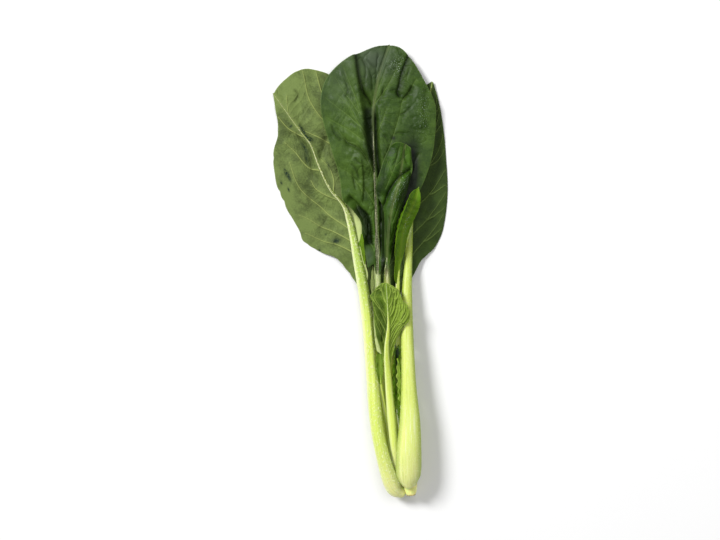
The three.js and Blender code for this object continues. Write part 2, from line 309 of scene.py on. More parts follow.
def growVeins(leaf, reach, gridPlace):
    # every vein of a blade as rows of its place, half width and direction: the strong ones, then all
    rng = np.random.default_rng(leaf["seed"])
    look = leaf["veinLook"]
    points = growth["points"]
    sides = {-1: [], 1: []}
    for line in leaf["veins"]:
        sides[-1 if line[-1][1] < 0 else 1].append(evenLine(line, growth["step"]))
    for side, count in zip((-1, 1), look["count"]):
        for k in range(count):
            jitter = rng.uniform(-growth["jitter"], growth["jitter"])
            first = growth["first"] + growth["room"] * (k + 0.5 + jitter) / count
            t = np.linspace(0, look["reach"], points)
            sweep = look["sweep"] * (1 - growth["slack"] * first)
            wander = growth["wander"] * np.cumsum(rng.normal(0, growth["turn"], points))
            curve = t ** growth["bend"] * (1 + growth["hook"] * t)
            u = np.clip(first + sweep * curve + wander * t, 0, growth["last"])
            sides[side].append(gridPlace(u, side * t))
            fork = int(points * rng.uniform(*growth["forkAt"]))
            leave = np.clip((t - t[fork]) / (1 - t[fork]), 0, 1)
            branch = np.clip(u - look["fork"] * leave ** growth["forkBend"], 0, growth["forkLast"])
            sides[side].append(gridPlace(branch, side * t)[fork:])
    strong, fine = [], []
    for side in (-1, 1):
        lines = sorted(sides[side], key=lambda line: line[0][0])
        strong.extend(withSize(line, look["width"], growth["tips"]["side"]) for line in lines)
        for low, high in zip(lines, lines[1:]):
            fine.extend(crossVeins(low, high, look, rng))
    mid = np.linspace(0, reach, growth["midPoints"])
    strong.append(withSize(np.column_stack([mid, mid * 0]), look["width"], growth["tips"]["mid"]))
    return np.vstack(strong), np.vstack(strong + fine)


def withSize(line, size, tip):
    # a vein's points with its half width, thinning to a share of it at the tip, and its direction
    ahead = np.gradient(line, axis=0)
    return np.column_stack([line, size * np.linspace(1, tip, len(line)), unit(ahead)])


def crossVeins(low, high, look, rng):
    # fine veins that cross between two neighbouring side veins
    rungs = []
    nearJitter, farJitter = crossing["jitter"]
    shortest, longest = crossing["gap"]
    count = int(np.linalg.norm(low[-1] - low[0]) / look["rung"])
    for k in range(1, count):
        leave = (k + rng.uniform(-nearJitter, nearJitter)) / count
        arrive = np.clip((k - crossing["lag"] + rng.uniform(-farJitter, farJitter)) / count, 0, 1)
        near, far = low[int((len(low) - 1) * leave)], high[int((len(high) - 1) * arrive)]
        gap = np.linalg.norm(far - near)
        if shortest < gap < longest:
            s = np.linspace(0, 1, max(crossing["fewest"], int(gap / crossing["step"])))[:, None]
            across = np.array([near[1] - far[1], far[0] - near[0]]) / gap
            bow = np.cumsum(rng.normal(0, crossing["turn"], len(s)))[:, None]
            path = near + (far - near) * s + across * (bow - bow[-1] * s)
            rungs.append(withSize(path, look["width"] * crossing["width"], growth["tips"]["cross"]))
    return rungs


def veinField(rows, l, c):
    # at each point: distance to one side of the nearest vein, plain distance to it, its half width
    tree = kdtree.KDTree(len(rows))
    for k, row in enumerate(rows):
        tree.insert((row[0], row[1], 0), k)
    tree.balance()
    hits = [tree.find((a, b, 0))[1:] for a, b in zip(l.ravel(), c.ravel())]
    near = rows[[hit[0] for hit in hits]]
    gap = np.array([hit[1] for hit in hits])
    side = near[:, 3] * (c.ravel() - near[:, 1]) - near[:, 4] * (l.ravel() - near[:, 0])
    return side.reshape(l.shape), gap.reshape(l.shape), near[:, 2].reshape(l.shape)


def fold(line, widths, height=0, dark=0, lean=0, power=2, fade=(0.15, 0.15)):
    # a ridge or crease along a line, with its widths to the left and right and how its ends fade
    # dark is painted shade along the fold
    return {"line": line, "widths": widths, "height": height, "dark": dark, "lean": lean,
            "power": power, "fade": fade}


creaseBasis = {"widths": (0.8, 0.8), "power": 1.4, "fade": (0.2, 0.2)}


def foldShape(one, l, c):
    # full on the fold's line, falling off over its two widths
    path = evenLine(one["line"], foldStep)
    ahead = unit(np.gradient(path, axis=0))
    apart = np.hypot(l[..., None] - path[:, 0], c[..., None] - path[:, 1])
    near = apart.argmin(axis=-1)
    side = ahead[near, 0] * (c - path[near, 1]) - ahead[near, 1] * (l - path[near, 0])
    share = apart.min(axis=-1) / np.where(side < 0, *one["widths"])
    start, end = one["fade"]
    run = near / (len(path) - 1.0)
    ends = smooth(run, -0.01, start) * smooth(1 - run, -0.01, end)
    return np.exp(-share ** one["power"]) * ends


def allFolds(leaf, l, c):
    # the height and sideways lean of a leaf's folds and creases together, and the painted shade in them
    height, lean, dark = np.zeros((3, *l.shape))
    rise, shade = leaf["creaseLook"]
    creases = [fold(line, height=rise, dark=shade, **creaseBasis) for line in leaf["creases"]]
    for one in leaf["folds"] + creases:
        shape = foldShape(one, l, c)
        height += one["height"] * shape
        lean += one["lean"] * shape
        dark = np.maximum(dark, one["dark"] * shape)
    return height, lean, dark


def spotMask(spots, l, c):
    # soft spots, each with its place, its reach along and across, and its strength
    mask = np.zeros_like(l)
    for middleL, middleC, reachL, reachC, amount in spots:
        away = np.hypot((l - middleL) / reachL, (c - middleC) / reachC)
        mask += amount * np.exp(-away ** 2)
    return mask


bladeMesh = {
    "thickness": 0.4, "edgeThickness": 0.24, "edgePower": 8,
    "sinkReach": (-2, 14),  # a blade comes to its height on the midrib over this length
    "still": 2.5,           # nearer its midrib than this a blade isn't lifted
    "waveSize": 26, "rippleSize": 9, "rippleShare": 0.4,
    "grainSize": 2.6, "grainShare": 0.25,
    "netShare": 0.35,       # the fine veins' puckers beside the strong ones'
    "gullyWidth": 3.0, "ruffleStretch": 0.15, "rufflePower": 3,
    "bayMean": 0.4, "bayStart": 3,      # nearer the midrib than the second the bays are shallower
    "ridgeWidth": 1.3, "netWidth": 1.6, "netRidge": 0.45, "upperRidge": 0.35,
    "ridgeStart": (0.3, 1.2),       # veins rise from flat beside the midrib to their height here
}
wrinkles = {
    "size": 7, "fineSize": 2.8, "fineShare": 0.35, "width": 0.13,
    "patchSize": 15, "patch": (-0.3, 0.4),      # they come in patches this large
}


def bladeSurface(leaf, route, reach, l, c):
    # the middle of the blade's thickness before any relief, its normal, and its direction across
    share = np.clip(l / reach, 0, 1)
    right = c > 0
    angles = []
    for key in ("rise", "curl"):
        table, _ = splineTable(leaf[key])
        even = np.linspace(0, 1, len(table))
        angles.append(np.radians(np.where(right, np.interp(share, even, table[:, 1]),
                                          np.interp(share, even, table[:, 0]))))
    first, turn = angles
    turn = np.where(np.abs(turn) < 1e-6, 1e-6, turn)
    last = first + turn * np.abs(c)
    along = (np.sin(last) - np.sin(first)) / turn
    lift = (np.cos(first) - np.cos(last)) / turn
    point, side, up, _, thickness = framesAlong(route, leaf["start"] + l, bladeSpan)
    sign = np.where(right, 1.0, -1.0)[..., None]
    sink = leaf["sink"] * smooth(l, *bladeMesh["sinkReach"])
    middle = point + up * (sink * thickness + lift)[..., None] + side * sign * along[..., None]
    normal = up * np.cos(last)[..., None] - side * sign * np.sin(last)[..., None]
    across = side * np.cos(last)[..., None] + up * sign * np.sin(last)[..., None]
    return middle, normal, across


def bladeRelief(leaf, faceSign, l, c, t, veinGap, netGap):
    # puckers between the veins, waves, a hollow beside the midrib, fine wrinkles and a ruffled margin
    look = leaf["veinLook"]
    seed = leaf["seed"]
    puff = look["puff"] * (1 - np.exp(-veinGap / look["puffWidth"]))
    netPuff = look["puff"] * bladeMesh["netShare"]
    puff += netPuff * (1 - np.exp(-netGap / (look["puffWidth"] * bladeMesh["netShare"])))
    puff += look["puff"] * bladeMesh["grainShare"] * softNoise(l, c, bladeMesh["grainSize"], seed + 4)
    waves = leaf["wave"] * softNoise(l, c, bladeMesh["waveSize"], seed + 1)
    waves += leaf["wave"] * bladeMesh["rippleShare"] * softNoise(l, c, bladeMesh["rippleSize"], seed + 2)
    gully = leaf["gully"] * (1 - np.exp(-np.abs(c) / bladeMesh["gullyWidth"]))
    wrinkle = softNoise(l, c, wrinkles["size"], seed + 6)
    wrinkle += wrinkles["fineShare"] * softNoise(l, c, wrinkles["fineSize"], seed + 7)
    wrinkle = np.exp(-np.abs(wrinkle) / wrinkles["width"])
    wrinkle *= smooth(softNoise(l, c, wrinkles["patchSize"], seed + 9), *wrinkles["patch"])
    ruffle = softNoise(l, c * bladeMesh["ruffleStretch"], leaf["ruffleSize"], seed + 3)
    ruffle = leaf["ruffle"] * np.abs(t) ** bladeMesh["rufflePower"] * ruffle
    calm = smooth(np.abs(c), *leaf["calm"])
    folds, lean, dark = allFolds(leaf, l, c)
    relief = faceSign * ((puff + gully + waves) * calm) + ruffle + folds * calm
    relief -= leaf["crumple"] * wrinkle * calm
    return relief, lean, dark


# rounds of lifting: the gap to leave, how much of the lift to give, and how far it is spread
liftRounds = [(0.15, 1.15, 12)] * 3 + [(0.1, 1, 2)]


def settle(middle, thickness, still):
    # lift a blade off what lies under it, with the lift spread around
    for gap, extra, passes in liftRounds:
        short = laid.under(middle) + gap + thickness / 2 - middle[..., 2]
        middle[..., 2] += evenOut(np.where(still, 0, np.maximum(short, 0)) * extra, passes)


def bladeMargins(leaf):
    # the left and right edges, cut into shallow bays
    size, depth = leaf["scallop"]
    margins = []
    for key, sign in (("left", -1), ("right", 1)):
        edge, run = splineTable([(l, sign * c) for l, c in leaf[key]])
        bays = np.abs(softNoise(edge[:, 0], edge[:, 1], size, leaf["seed"] + 8))
        share = np.clip(np.abs(edge[:, 1]) / bladeMesh["bayStart"], 0, 1)
        edge[:, 1] += sign * depth * (bays - bladeMesh["bayMean"]) * share
        margins.append((edge, run))
    return margins


def makeBlade(leaf, finishes):
    route = splineTable(leaf["route"], 3)
    reach = route[1][-1] - leaf["start"]
    (left, leftRun), (right, rightRun) = bladeMargins(leaf)
    faceSign = -1.0 if leaf["underside"] else 1.0
    look = leaf["veinLook"]

    def gridPlace(u, t):
        # u runs from the blade's start to its tip, t from its left margin to its right one
        edge = np.where(t[..., None] < 0, lookUp(left, leftRun, u * leftRun[-1]),
                        lookUp(right, rightRun, u * rightRun[-1]))
        far = np.abs(t)[..., None]
        return np.concatenate([(u * reach)[..., None] * (1 - far) + edge[..., :1] * far,
                               edge[..., 1:] * far], axis=-1)

    rowCount = int(max(leftRun[-1], rightRun[-1]) / leaf["pitch"])
    columnCount = 2 * int((right[:, 1].max() - left[:, 1].min()) / leaf["pitch"] / 2)
    u, t = np.meshgrid(np.linspace(0, 1, rowCount + 1), np.linspace(-1, 1, columnCount + 1), indexing="ij")
    flat = gridPlace(u, t)
    l, c = flat[..., 0], flat[..., 1]
    strong, every = growVeins(leaf, reach, gridPlace)
    veinSide, veinGap, veinSize = veinField(strong, l, c)
    netSide, netGap, netSize = veinField(every, l, c)
    relief, lean, dark = bladeRelief(leaf, faceSign, l, c, t, veinGap, netGap)
    middle, normal, across = bladeSurface(leaf, route, reach, l, c)
    middle += normal * relief[..., None] + across * lean[..., None]

    edge = np.abs(t) ** bladeMesh["edgePower"]
    thickness = bladeMesh["thickness"] * (1 - edge) + bladeMesh["edgeThickness"] * edge
    if leaf["drapes"]:
        settle(middle, thickness, np.abs(c) < bladeMesh["still"])
    middle[..., 2] = np.maximum(middle[..., 2], tableGap + thickness / 2 + look["ridge"] * 0.5)
    facing = unit(np.cross(np.gradient(middle, axis=1), np.gradient(middle, axis=0)))
    facing *= np.sign((facing * normal).sum(axis=-1, keepdims=True) + 1e-9)
    ridge = look["ridge"] * np.exp(-(veinGap / (veinSize * bladeMesh["ridgeWidth"])) ** 2)
    netRidge = bladeMesh["netRidge"] * look["ridge"]
    ridge = np.maximum(ridge, netRidge * np.exp(-(netGap / (netSize * bladeMesh["netWidth"])) ** 2))
    ridge *= smooth(np.abs(c), *bladeMesh["ridgeStart"])
    upper = middle + facing * (faceSign * (thickness / 2 - ridge * bladeMesh["upperRidge"]))[..., None]
    under = middle - facing * (faceSign * (thickness / 2 + ridge))[..., None]
    for skin in (upper, under):
        skin[..., 2] = np.maximum(skin[..., 2], tableGap)
    laid.add(middle + facing * (thickness / 2 + ridge)[..., None])

    margin = (1 - np.abs(t)) * np.maximum(np.abs(c) / np.maximum(np.abs(t), 0.05), 1)
    # the spot masks below carry painted light, sheen, shade and glints as well as real marks
    spots = {key: spotMask(leaf[key], l, c) for key in ("wet", "scuffs", "tints", "pales", "blooms", "deeps")}
    values = {
        "flat": np.stack([l, c, np.clip(l / reach, 0, 1)], axis=-1),
        "vein": np.stack([veinSide, veinGap, veinSize], axis=-1),
        "net": np.stack([netSide, netGap, netSize], axis=-1),
        "marks": np.stack([margin, spots["wet"], spots["scuffs"]], axis=-1),
        "tint": spots["tints"],
        "washes": np.stack([spots["pales"], spots["blooms"], np.maximum(dark, spots["deeps"])], axis=-1),
    }
    piece = twoSkins(pieceName(leaf, "Blade"), upper, under, faceSign, values)
    for finish in finishes:
        piece.data.materials.append(skins[finish])
    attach(piece, "root")
    if not leaf["lobe"]:
        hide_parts(leaf["node"] + "_blade")
    print(piece.name, len(piece.data.polygons), "faces")


def twoSkins(name, upper, under, faceSign, values):
    # a blade's two faces, joined round the margin
    rows, columns = upper.shape[:2]
    count = rows * columns
    number = np.arange(count).reshape(rows, columns)
    quads = np.stack([number[:-1, :-1], number[:-1, 1:], number[1:, 1:], number[1:, :-1]], axis=-1)
    quads = quads.reshape(-1, 4)
    loop = np.concatenate([number[0, :-1], number[:-1, -1], number[-1, :0:-1], number[:0:-1, 0]])
    after = np.roll(loop, -1)
    rim = np.stack([loop, loop + count, after + count, after], axis=-1)
    if faceSign < 0:
        quads, rim = quads[:, ::-1], rim[:, ::-1]
    faces = np.concatenate([quads, quads[:, ::-1] + count, rim])
    slots = np.repeat([0, 1, 1], [len(quads), len(quads), len(rim)])
    points = np.concatenate([upper.reshape(-1, 3), under.reshape(-1, 3)])
    doubled = {}
    for key, value in values.items():
        once = value.reshape(count, -1) if value.ndim == 3 else value.ravel()
        doubled[key] = np.concatenate([once, once])
    return makeMesh(name, points, faces, doubled, slots)


stalkMesh = {
    "step": 0.9,            # between two rings
    "groove": 0.25,         # the inner side is hollowed by this share of the thickness
    "sheath": 45,           # a stalk wraps round its neighbours as far up as this
    "rooted": 0.4,          # how much narrower it is where it ends inside the crown
    "ribWidth": 9, "ribLength": 40,
    "grain": 0.05, "grainWidth": 6, "grainLength": 0.35, "grainSize": 3,
    "fullRibs": 6,          # narrower than this a stalk has lower ribs
    "cap": 0.12,            # how far its ends bulge, as a share of its width
}


def makeStalk(leaf, finish):
    route = splineTable(leaf["route"], 3)
    length = route[1][-1]
    look = leaf["stalk"]
    distance = np.linspace(-look["root"], length, int((length + look["root"]) / stalkMesh["step"]) + 1)
    point, side, up, width, thickness = framesAlong(route, distance, stalkSpan)
    thin = np.interp(distance, *zip(*look["thin"]))
    rooted = 1 - stalkMesh["rooted"] * smooth(-distance, 0, look["root"])
    width, thickness = width * thin * rooted, thickness * thin * rooted
    angle = np.linspace(0, 2 * np.pi, look["sides"], endpoint=False)
    across, high = np.cos(angle)[None, :], np.sin(angle)[None, :]
    inner = -1.0 if leaf["underside"] else 1.0
    depth = high * thickness[:, None] / 2
    hollow = inner * stalkMesh["groove"] * thickness[:, None] * (1 - across ** 2)
    depth = np.where(depth * inner > 0, depth - hollow, depth)
    wrap = leaf["wrap"] * np.clip(1 - distance / stalkMesh["sheath"], 0, 1)
    depth = depth + inner * wrap[:, None] * across ** 2
    turn, run = angle[None, :], distance[:, None]
    swell = look["ribHeight"] * np.cos(angle * look["ribs"])[None, :]
    swell = swell * softNoise(turn * stalkMesh["ribWidth"], run, stalkMesh["ribLength"], leaf["seed"])
    fine = softNoise(turn * stalkMesh["grainWidth"], run * stalkMesh["grainLength"], stalkMesh["grainSize"],
                     leaf["seed"] + 5)
    swell = swell + stalkMesh["grain"] * fine
    for keel in look["keels"]:
        apart = np.degrees(np.abs((angle - np.radians(keel["angle"]) + np.pi) % (2 * np.pi) - np.pi))
        reach = smooth(distance, *keel["from"]) * smooth(-distance, -keel["to"][1], -keel["to"][0])
        swell = swell + keel["height"] * np.exp(-(apart / keel["spread"]) ** 2)[None, :] * reach[:, None]
    swell = swell * np.clip(width / stalkMesh["fullRibs"], 0, 1)[:, None]
    place = (point[:, None] + side[:, None] * (across * (width[:, None] / 2 + swell))[..., None]
             + up[:, None] * (depth + high * swell)[..., None])
    place[..., 2] = np.maximum(place[..., 2], tableGap)
    laid.add(place)
    rows, sides = place.shape[:2]
    hubs = [place[ring].mean(axis=0) + unit(point[ring] - point[ring + step]) * width[ring] * stalkMesh["cap"]
            for ring, step in ((0, 1), (rows - 1, -1))]
    rounds = np.stack([np.tile(across[0], rows) * np.repeat(width, sides) / 2,
                       np.tile(high[0], rows) * np.repeat(thickness, sides) / 2,
                       np.repeat(distance, sides)], axis=-1)
    share = np.repeat(distance / leaf["start"], sides)
    around = np.stack([share, np.tile(across[0], rows), np.tile(-inner * high[0], rows)], axis=-1)
    piece = makeLoft(pieceName(leaf, "Stalk"), place, hubs, {"stalk": around, "skin": rounds})
    piece.data.materials.append(skins[finish])
    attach(piece, "root")
    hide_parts(leaf["node"] + "_stalk")
    print(piece.name, len(piece.data.polygons), "faces")


crown = {
    "place": (4.4, 0.0, 10.0), "lean": 6.0, "sides": 96,
    "profile": [(0, -2.6), (3.4, -2.6), (4.3, 0.4), (4.6, 6), (3.4, 10.6), (0, 12.6)],    # of the solid
    "flank": [(2.5, -2.6), (2.9, -2.2), (3.7, 0.4), (4.4, 6), (3.4, 10.6)],     # as it is dressed here
    "cut": 2.4, "shoulder": (3.2, 10.8), "peak": (0.3, 12.4),
    "rings": {"cut": 14, "flank": 44, "top": 10},
    "calm": 2.0,            # nearer its axis than this the relief fades
    "tornEnd": 0.4,         # the cut is torn up to here
    "cutEnd": 1.0, "cutFade": 0.8, "cutRim": 2.8,
    "rough": {"height": 0.18, "around": 3.2, "along": 0.8, "size": 1.4, "seed": 91},
    "grain": {"height": 0.12, "around": 9, "along": 1, "size": 0.7, "seed": 93},
    "torn": {"height": 0.25, "around": 4, "along": 1.6, "size": 1.1, "seed": 92},
}


def leaned(x, y):
    turn = math.radians(crown["lean"])
    return x * math.cos(turn) - y * math.sin(turn), x * math.sin(turn) + y * math.cos(turn)


def findOrigin():
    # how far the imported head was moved, from where its crown now lies
    corners = [leaned(side * r, y) for r, y in crown["profile"] for side in (-1, 1)]
    low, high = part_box("crown")
    moved = []
    for k in (0, 1):
        places = [corner[k] for corner in corners]
        moved.append((low[k] + high[k]) / 2 / mm - ((max(places) + min(places)) / 2 + crown["place"][k]))
    return np.array([*moved, 0.0])


origin = findOrigin()
print("the head was moved by", origin.round(2), "mm")


def crownRelief(relief, angle, place):
    hills = softNoise(angle * relief["around"], place * relief["along"], relief["size"], relief["seed"])
    return relief["height"] * hills


def makeCrown(skin):
    sides, rings = crown["sides"], crown["rings"]
    foot = crown["flank"][0][1]
    cut = np.linspace((crown["peak"][0], foot), (crown["cut"], foot), rings["cut"])
    table, run = splineTable(crown["flank"])
    flank = lookUp(table, run, np.linspace(0, run[-1], rings["flank"]))
    top = np.linspace(crown["shoulder"], crown["peak"], rings["top"])
    outline = np.vstack([cut, flank, top])
    angle = np.linspace(0, 2 * np.pi, sides, endpoint=False)[None, :]
    r, y = outline[:, :1], outline[:, 1:]
    rough = crownRelief(crown["rough"], angle, y) + crownRelief(crown["grain"], angle, y)
    torn = crownRelief(crown["torn"], angle, r) * (y < foot + crown["tornEnd"])
    radius = r + rough * np.clip(r / crown["calm"], 0, 1)
    placeX, placeY = leaned(radius * np.sin(angle), y + torn)
    place = np.stack([placeX, placeY, radius * np.cos(angle)], axis=-1) + crown["place"]
    laid.add(place)
    low = np.clip((foot + crown["cutEnd"] - outline[:, 1]) / crown["cutFade"], 0, 1)
    values = {"foot": np.repeat(low, sides), "ring": np.repeat(outline[:, 0] / crown["cutRim"], sides)}
    hubs = [place[0].mean(axis=0), place[-1].mean(axis=0)]
    piece = makeLoft("crownStub", place, hubs, values, flip=True)
    piece.data.materials.append(skin)
    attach(piece, "root")
    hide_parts("crown")
    print(piece.name, len(piece.data.polygons), "faces")


def addNode(tree, kind, **settings):
    node = tree.nodes.new(kind)
    for key, value in settings.items():
        setattr(node, key, value)
    return node


def feed(tree, socket, value):
    if isinstance(value, bpy.types.NodeSocket):
        tree.links.new(value, socket)
    else:
        socket.default_value = value


def setInputs(tree, node, **values):
    for key, value in values.items():
        feed(tree, node.inputs[key.replace("_", " ")], value)
    return node


def readNumber(tree, name):
    return addNode(tree, "ShaderNodeAttribute", attribute_name=name).outputs["Fac"]


def readVector(tree, name):
    return addNode(tree, "ShaderNodeAttribute", attribute_name=name).outputs["Vector"]


def partsOf(tree, vector):
    parts = addNode(tree, "ShaderNodeSeparateXYZ")
    tree.links.new(vector, parts.inputs[0])
    return parts.outputs


def reckon(tree, operation, a, b=0.5, clamp=False):
    node = addNode(tree, "ShaderNodeMath", operation=operation, use_clamp=clamp)
    feed(tree, node.inputs[0], a)
    feed(tree, node.inputs[1], b)
    return node.outputs[0]


def times(tree, a, b):
    return reckon(tree, "MULTIPLY", a, b)


def plus(tree, a, b):
    return reckon(tree, "ADD", a, b)


def srgb(colour):
    channels = [value / 255 for value in colour]
    return tuple(v / 12.92 if v <= 0.04045 else ((v + 0.055) / 1.055) ** 2.4 for v in channels) + (1.0,)


def layColours(tree, look, first, layers):
    # colours laid one over another, each with its own share
    colour = srgb(look[first])
    for name, share in layers:
        node = addNode(tree, "ShaderNodeMix", data_type="RGBA")     # its colours are inputs 6 and 7
        for slot, value in ((0, share), (6, colour), (7, srgb(look[name]))):
            feed(tree, node.inputs[slot], value)
        colour = node.outputs[2]
    return colour


def spread(tree, value, low, high, outLow=0.0, outHigh=1.0):
    node = addNode(tree, "ShaderNodeMapRange", interpolation_type="SMOOTHSTEP")
    setInputs(tree, node, Value=value, From_Min=low, From_Max=high, To_Min=outLow, To_Max=outHigh)
    return node.outputs["Result"]


def noise(tree, place, scale, detail=3.0, roughness=0.6, stretch=None):
    if stretch:
        mapping = addNode(tree, "ShaderNodeMapping")
        setInputs(tree, mapping, Vector=place, Scale=stretch)
        place = mapping.outputs["Vector"]
    node = addNode(tree, "ShaderNodeTexNoise")
    setInputs(tree, node, Vector=place, Scale=scale, Detail=detail, Roughness=roughness)
    return node.outputs["Fac"]


def startGroup(name, inputs, outputs):
    # inputs are vectors where no number is given, and outputs are numbers
    group = bpy.data.node_groups.new(name, "ShaderNodeTree")
    for label, value in inputs.items():
        kind = "NodeSocketVector" if value is None else "NodeSocketFloat"
        socket = group.interface.new_socket(label, in_out="INPUT", socket_type=kind)
        if value is not None:
            socket.default_value = value
    for label in outputs:
        group.interface.new_socket(label, in_out="OUTPUT", socket_type="NodeSocketFloat")
    return group, addNode(group, "NodeGroupInput").outputs, addNode(group, "NodeGroupOutput")


def makeVeinLines():
    # thin lines along the veins, from each point's distance to one side of its nearest vein
    group, given, out = startGroup("veinLines", {"Vein": None, "Widen": 1.0}, ["Line", "Halo"])
    side, gap, size = partsOf(group, given["Vein"])
    share = reckon(group, "DIVIDE", reckon(group, "ABSOLUTE", side), times(group, size, given["Widen"]))
    line = times(group, spread(group, share, 0.45, 1.2, 1.0, 0.0), spread(group, gap, 1.0, 1.5, 1.0, 0.0))
    setInputs(group, out, Line=line, Halo=spread(group, gap, 0.3, 2.6, 1.0, 0.0))
    return group


def makeLeafGrain():
    # mottling, the finest net of veins, small wrinkles and specks for painted glints, laid in the leaf's own
    # flat measure
    group, given, out = startGroup("leafGrain", {"Net Size": 1.0}, ["Mottle", "Net", "Wrinkle", "Speck"])
    mapping = addNode(group, "ShaderNodeMapping")
    setInputs(group, mapping, Vector=readVector(group, "flat"), Scale=(1.0, 1.0, 0.0))
    flat = mapping.outputs["Vector"]
    close = noise(group, flat, 0.85)
    mottle = plus(group, times(group, noise(group, flat, 0.1, 4.0, 0.62), 0.65), times(group, close, 0.35))
    bend = addNode(group, "ShaderNodeVectorMath", operation="MULTIPLY_ADD")
    for slot, value in ((0, close.node.outputs["Color"]), (1, (1.3, 1.3, 0.0)), (2, flat)):
        feed(group, bend.inputs[slot], value)
    cells = addNode(group, "ShaderNodeTexVoronoi", feature="DISTANCE_TO_EDGE", voronoi_dimensions="2D")
    setInputs(group, cells, Vector=bend.outputs[0], Scale=given["Net Size"])
    net = spread(group, cells.outputs["Distance"], 0.0, 0.3, 1.0, 0.0)
    wrinkle = plus(group, times(group, close, 0.7), times(group, noise(group, flat, 2.6), 0.3))
    glintSpeck = spread(group, noise(group, flat, 1.5, 1.0, 0.5), 0.64, 0.72)
    setInputs(group, out, Mottle=mottle, Net=net, Wrinkle=wrinkle, Speck=glintSpeck)
    return group


def makeStalkGrain():
    # lengthwise fibres, pale pores and broad mottling, laid along the stalk's own skin
    group, given, out = startGroup("stalkGrain", {"Fibre Size": 1.2, "Pore Size": 1.4},
                                   ["Fibre", "Pore", "Mottle"])
    skin = readVector(group, "skin")
    fibre = noise(group, skin, given["Fibre Size"], 4.0, 0.62, stretch=(1.0, 1.0, 0.03))
    pore = noise(group, skin, given["Pore Size"], 2.0, 0.5, stretch=(1.0, 1.0, 0.7))
    mottle = noise(group, skin, 0.35, stretch=(1.0, 1.0, 0.3))
    setInputs(group, out, Fibre=fibre, Pore=pore, Mottle=mottle)
    return group


veinLines = makeVeinLines()
leafGrain = makeLeafGrain()
stalkGrain = makeStalkGrain()


def startMaterial(name):
    material = bpy.data.materials.new(name)
    material.use_nodes = True
    return material, material.node_tree, material.node_tree.nodes["Principled BSDF"]


def groupNode(tree, group, **values):
    return setInputs(tree, addNode(tree, "ShaderNodeGroup", node_tree=group), **values).outputs


def bump(tree, height, strength, distance):
    node = addNode(tree, "ShaderNodeBump")
    return setInputs(tree, node, Height=height, Strength=strength, Distance=distance).outputs["Normal"]


def leafMaterial(name, look):
    material, tree, shader = startMaterial(name)
    grain = groupNode(tree, leafGrain, Net_Size=look["netSize"])
    _, c, share = partsOf(tree, readVector(tree, "flat"))
    margin, wet, scuff = partsOf(tree, readVector(tree, "marks"))
    pale, bloom, deep = partsOf(tree, readVector(tree, "washes"))
    strong = groupNode(tree, veinLines, Vein=readVector(tree, "vein"), Widen=1.0)
    fine = groupNode(tree, veinLines, Vein=readVector(tree, "net"), Widen=1.0)
    beside = reckon(tree, "ABSOLUTE", c)
    patchy = spread(tree, grain["Wrinkle"], 0.38, 0.54)
    # random mottling, plus the listed tints, which are partly painted light and shade
    tone = plus(tree, spread(tree, grain["Mottle"], 0.34, 0.66), readNumber(tree, "tint"))
    colour = layColours(tree, look, "dark", [
        ("light", tone),
        ("base", spread(tree, share, 0.0, look["baseReach"], 1.0, 0.0)),
        ("vein", times(tree, strong["Halo"], look["halo"])),
        ("vein", times(tree, grain["Net"], look["netTint"])),
        ("vein", times(tree, fine["Line"], look["fineTint"])),
        ("vein", times(tree, strong["Line"], look["veinTint"])),
        ("vein", spread(tree, margin, 0.15, 0.6, look["edgeTint"], 0.0)),
        ("rib", spread(tree, beside, look["ribReach"] * 0.4, look["ribReach"], look["ribTint"], 0.0)),
        # paler places, partly painted light where a turned face catches more light
        ("pale", pale),
        # painted sheen: a greyer green standing in for reflection off the waxy face
        ("bloom", times(tree, bloom, 0.8)),
        ("scuff", times(tree, scuff, patchy)),
        # painted shade in creases, hollows and under other leaves
        ("deep", times(tree, deep, 0.95)),
        # painted glints: pale specks on wet places
        ("glint", times(tree, wet, grain["Speck"])),
    ])
    dull = spread(tree, grain["Mottle"], 0.3, 0.7, *look["roughness"])
    wetness = reckon(tree, "MULTIPLY", wet, spread(tree, grain["Wrinkle"], 0.42, 0.56), True)
    dull = reckon(tree, "SUBTRACT", dull, times(tree, wetness, 0.3), True)
    height = times(tree, plus(tree, strong["Line"], times(tree, fine["Line"], 0.5)), look["veinHeight"])
    height = plus(tree, height, times(tree, grain["Net"], look["netHeight"]))
    height = plus(tree, height, times(tree, grain["Wrinkle"], look["wrinkle"]))
    setInputs(tree, shader, Base_Color=colour, Roughness=dull, Specular_IOR_Level=look["gloss"],
              Normal=bump(tree, height, look["bump"], 0.0004))
    return material


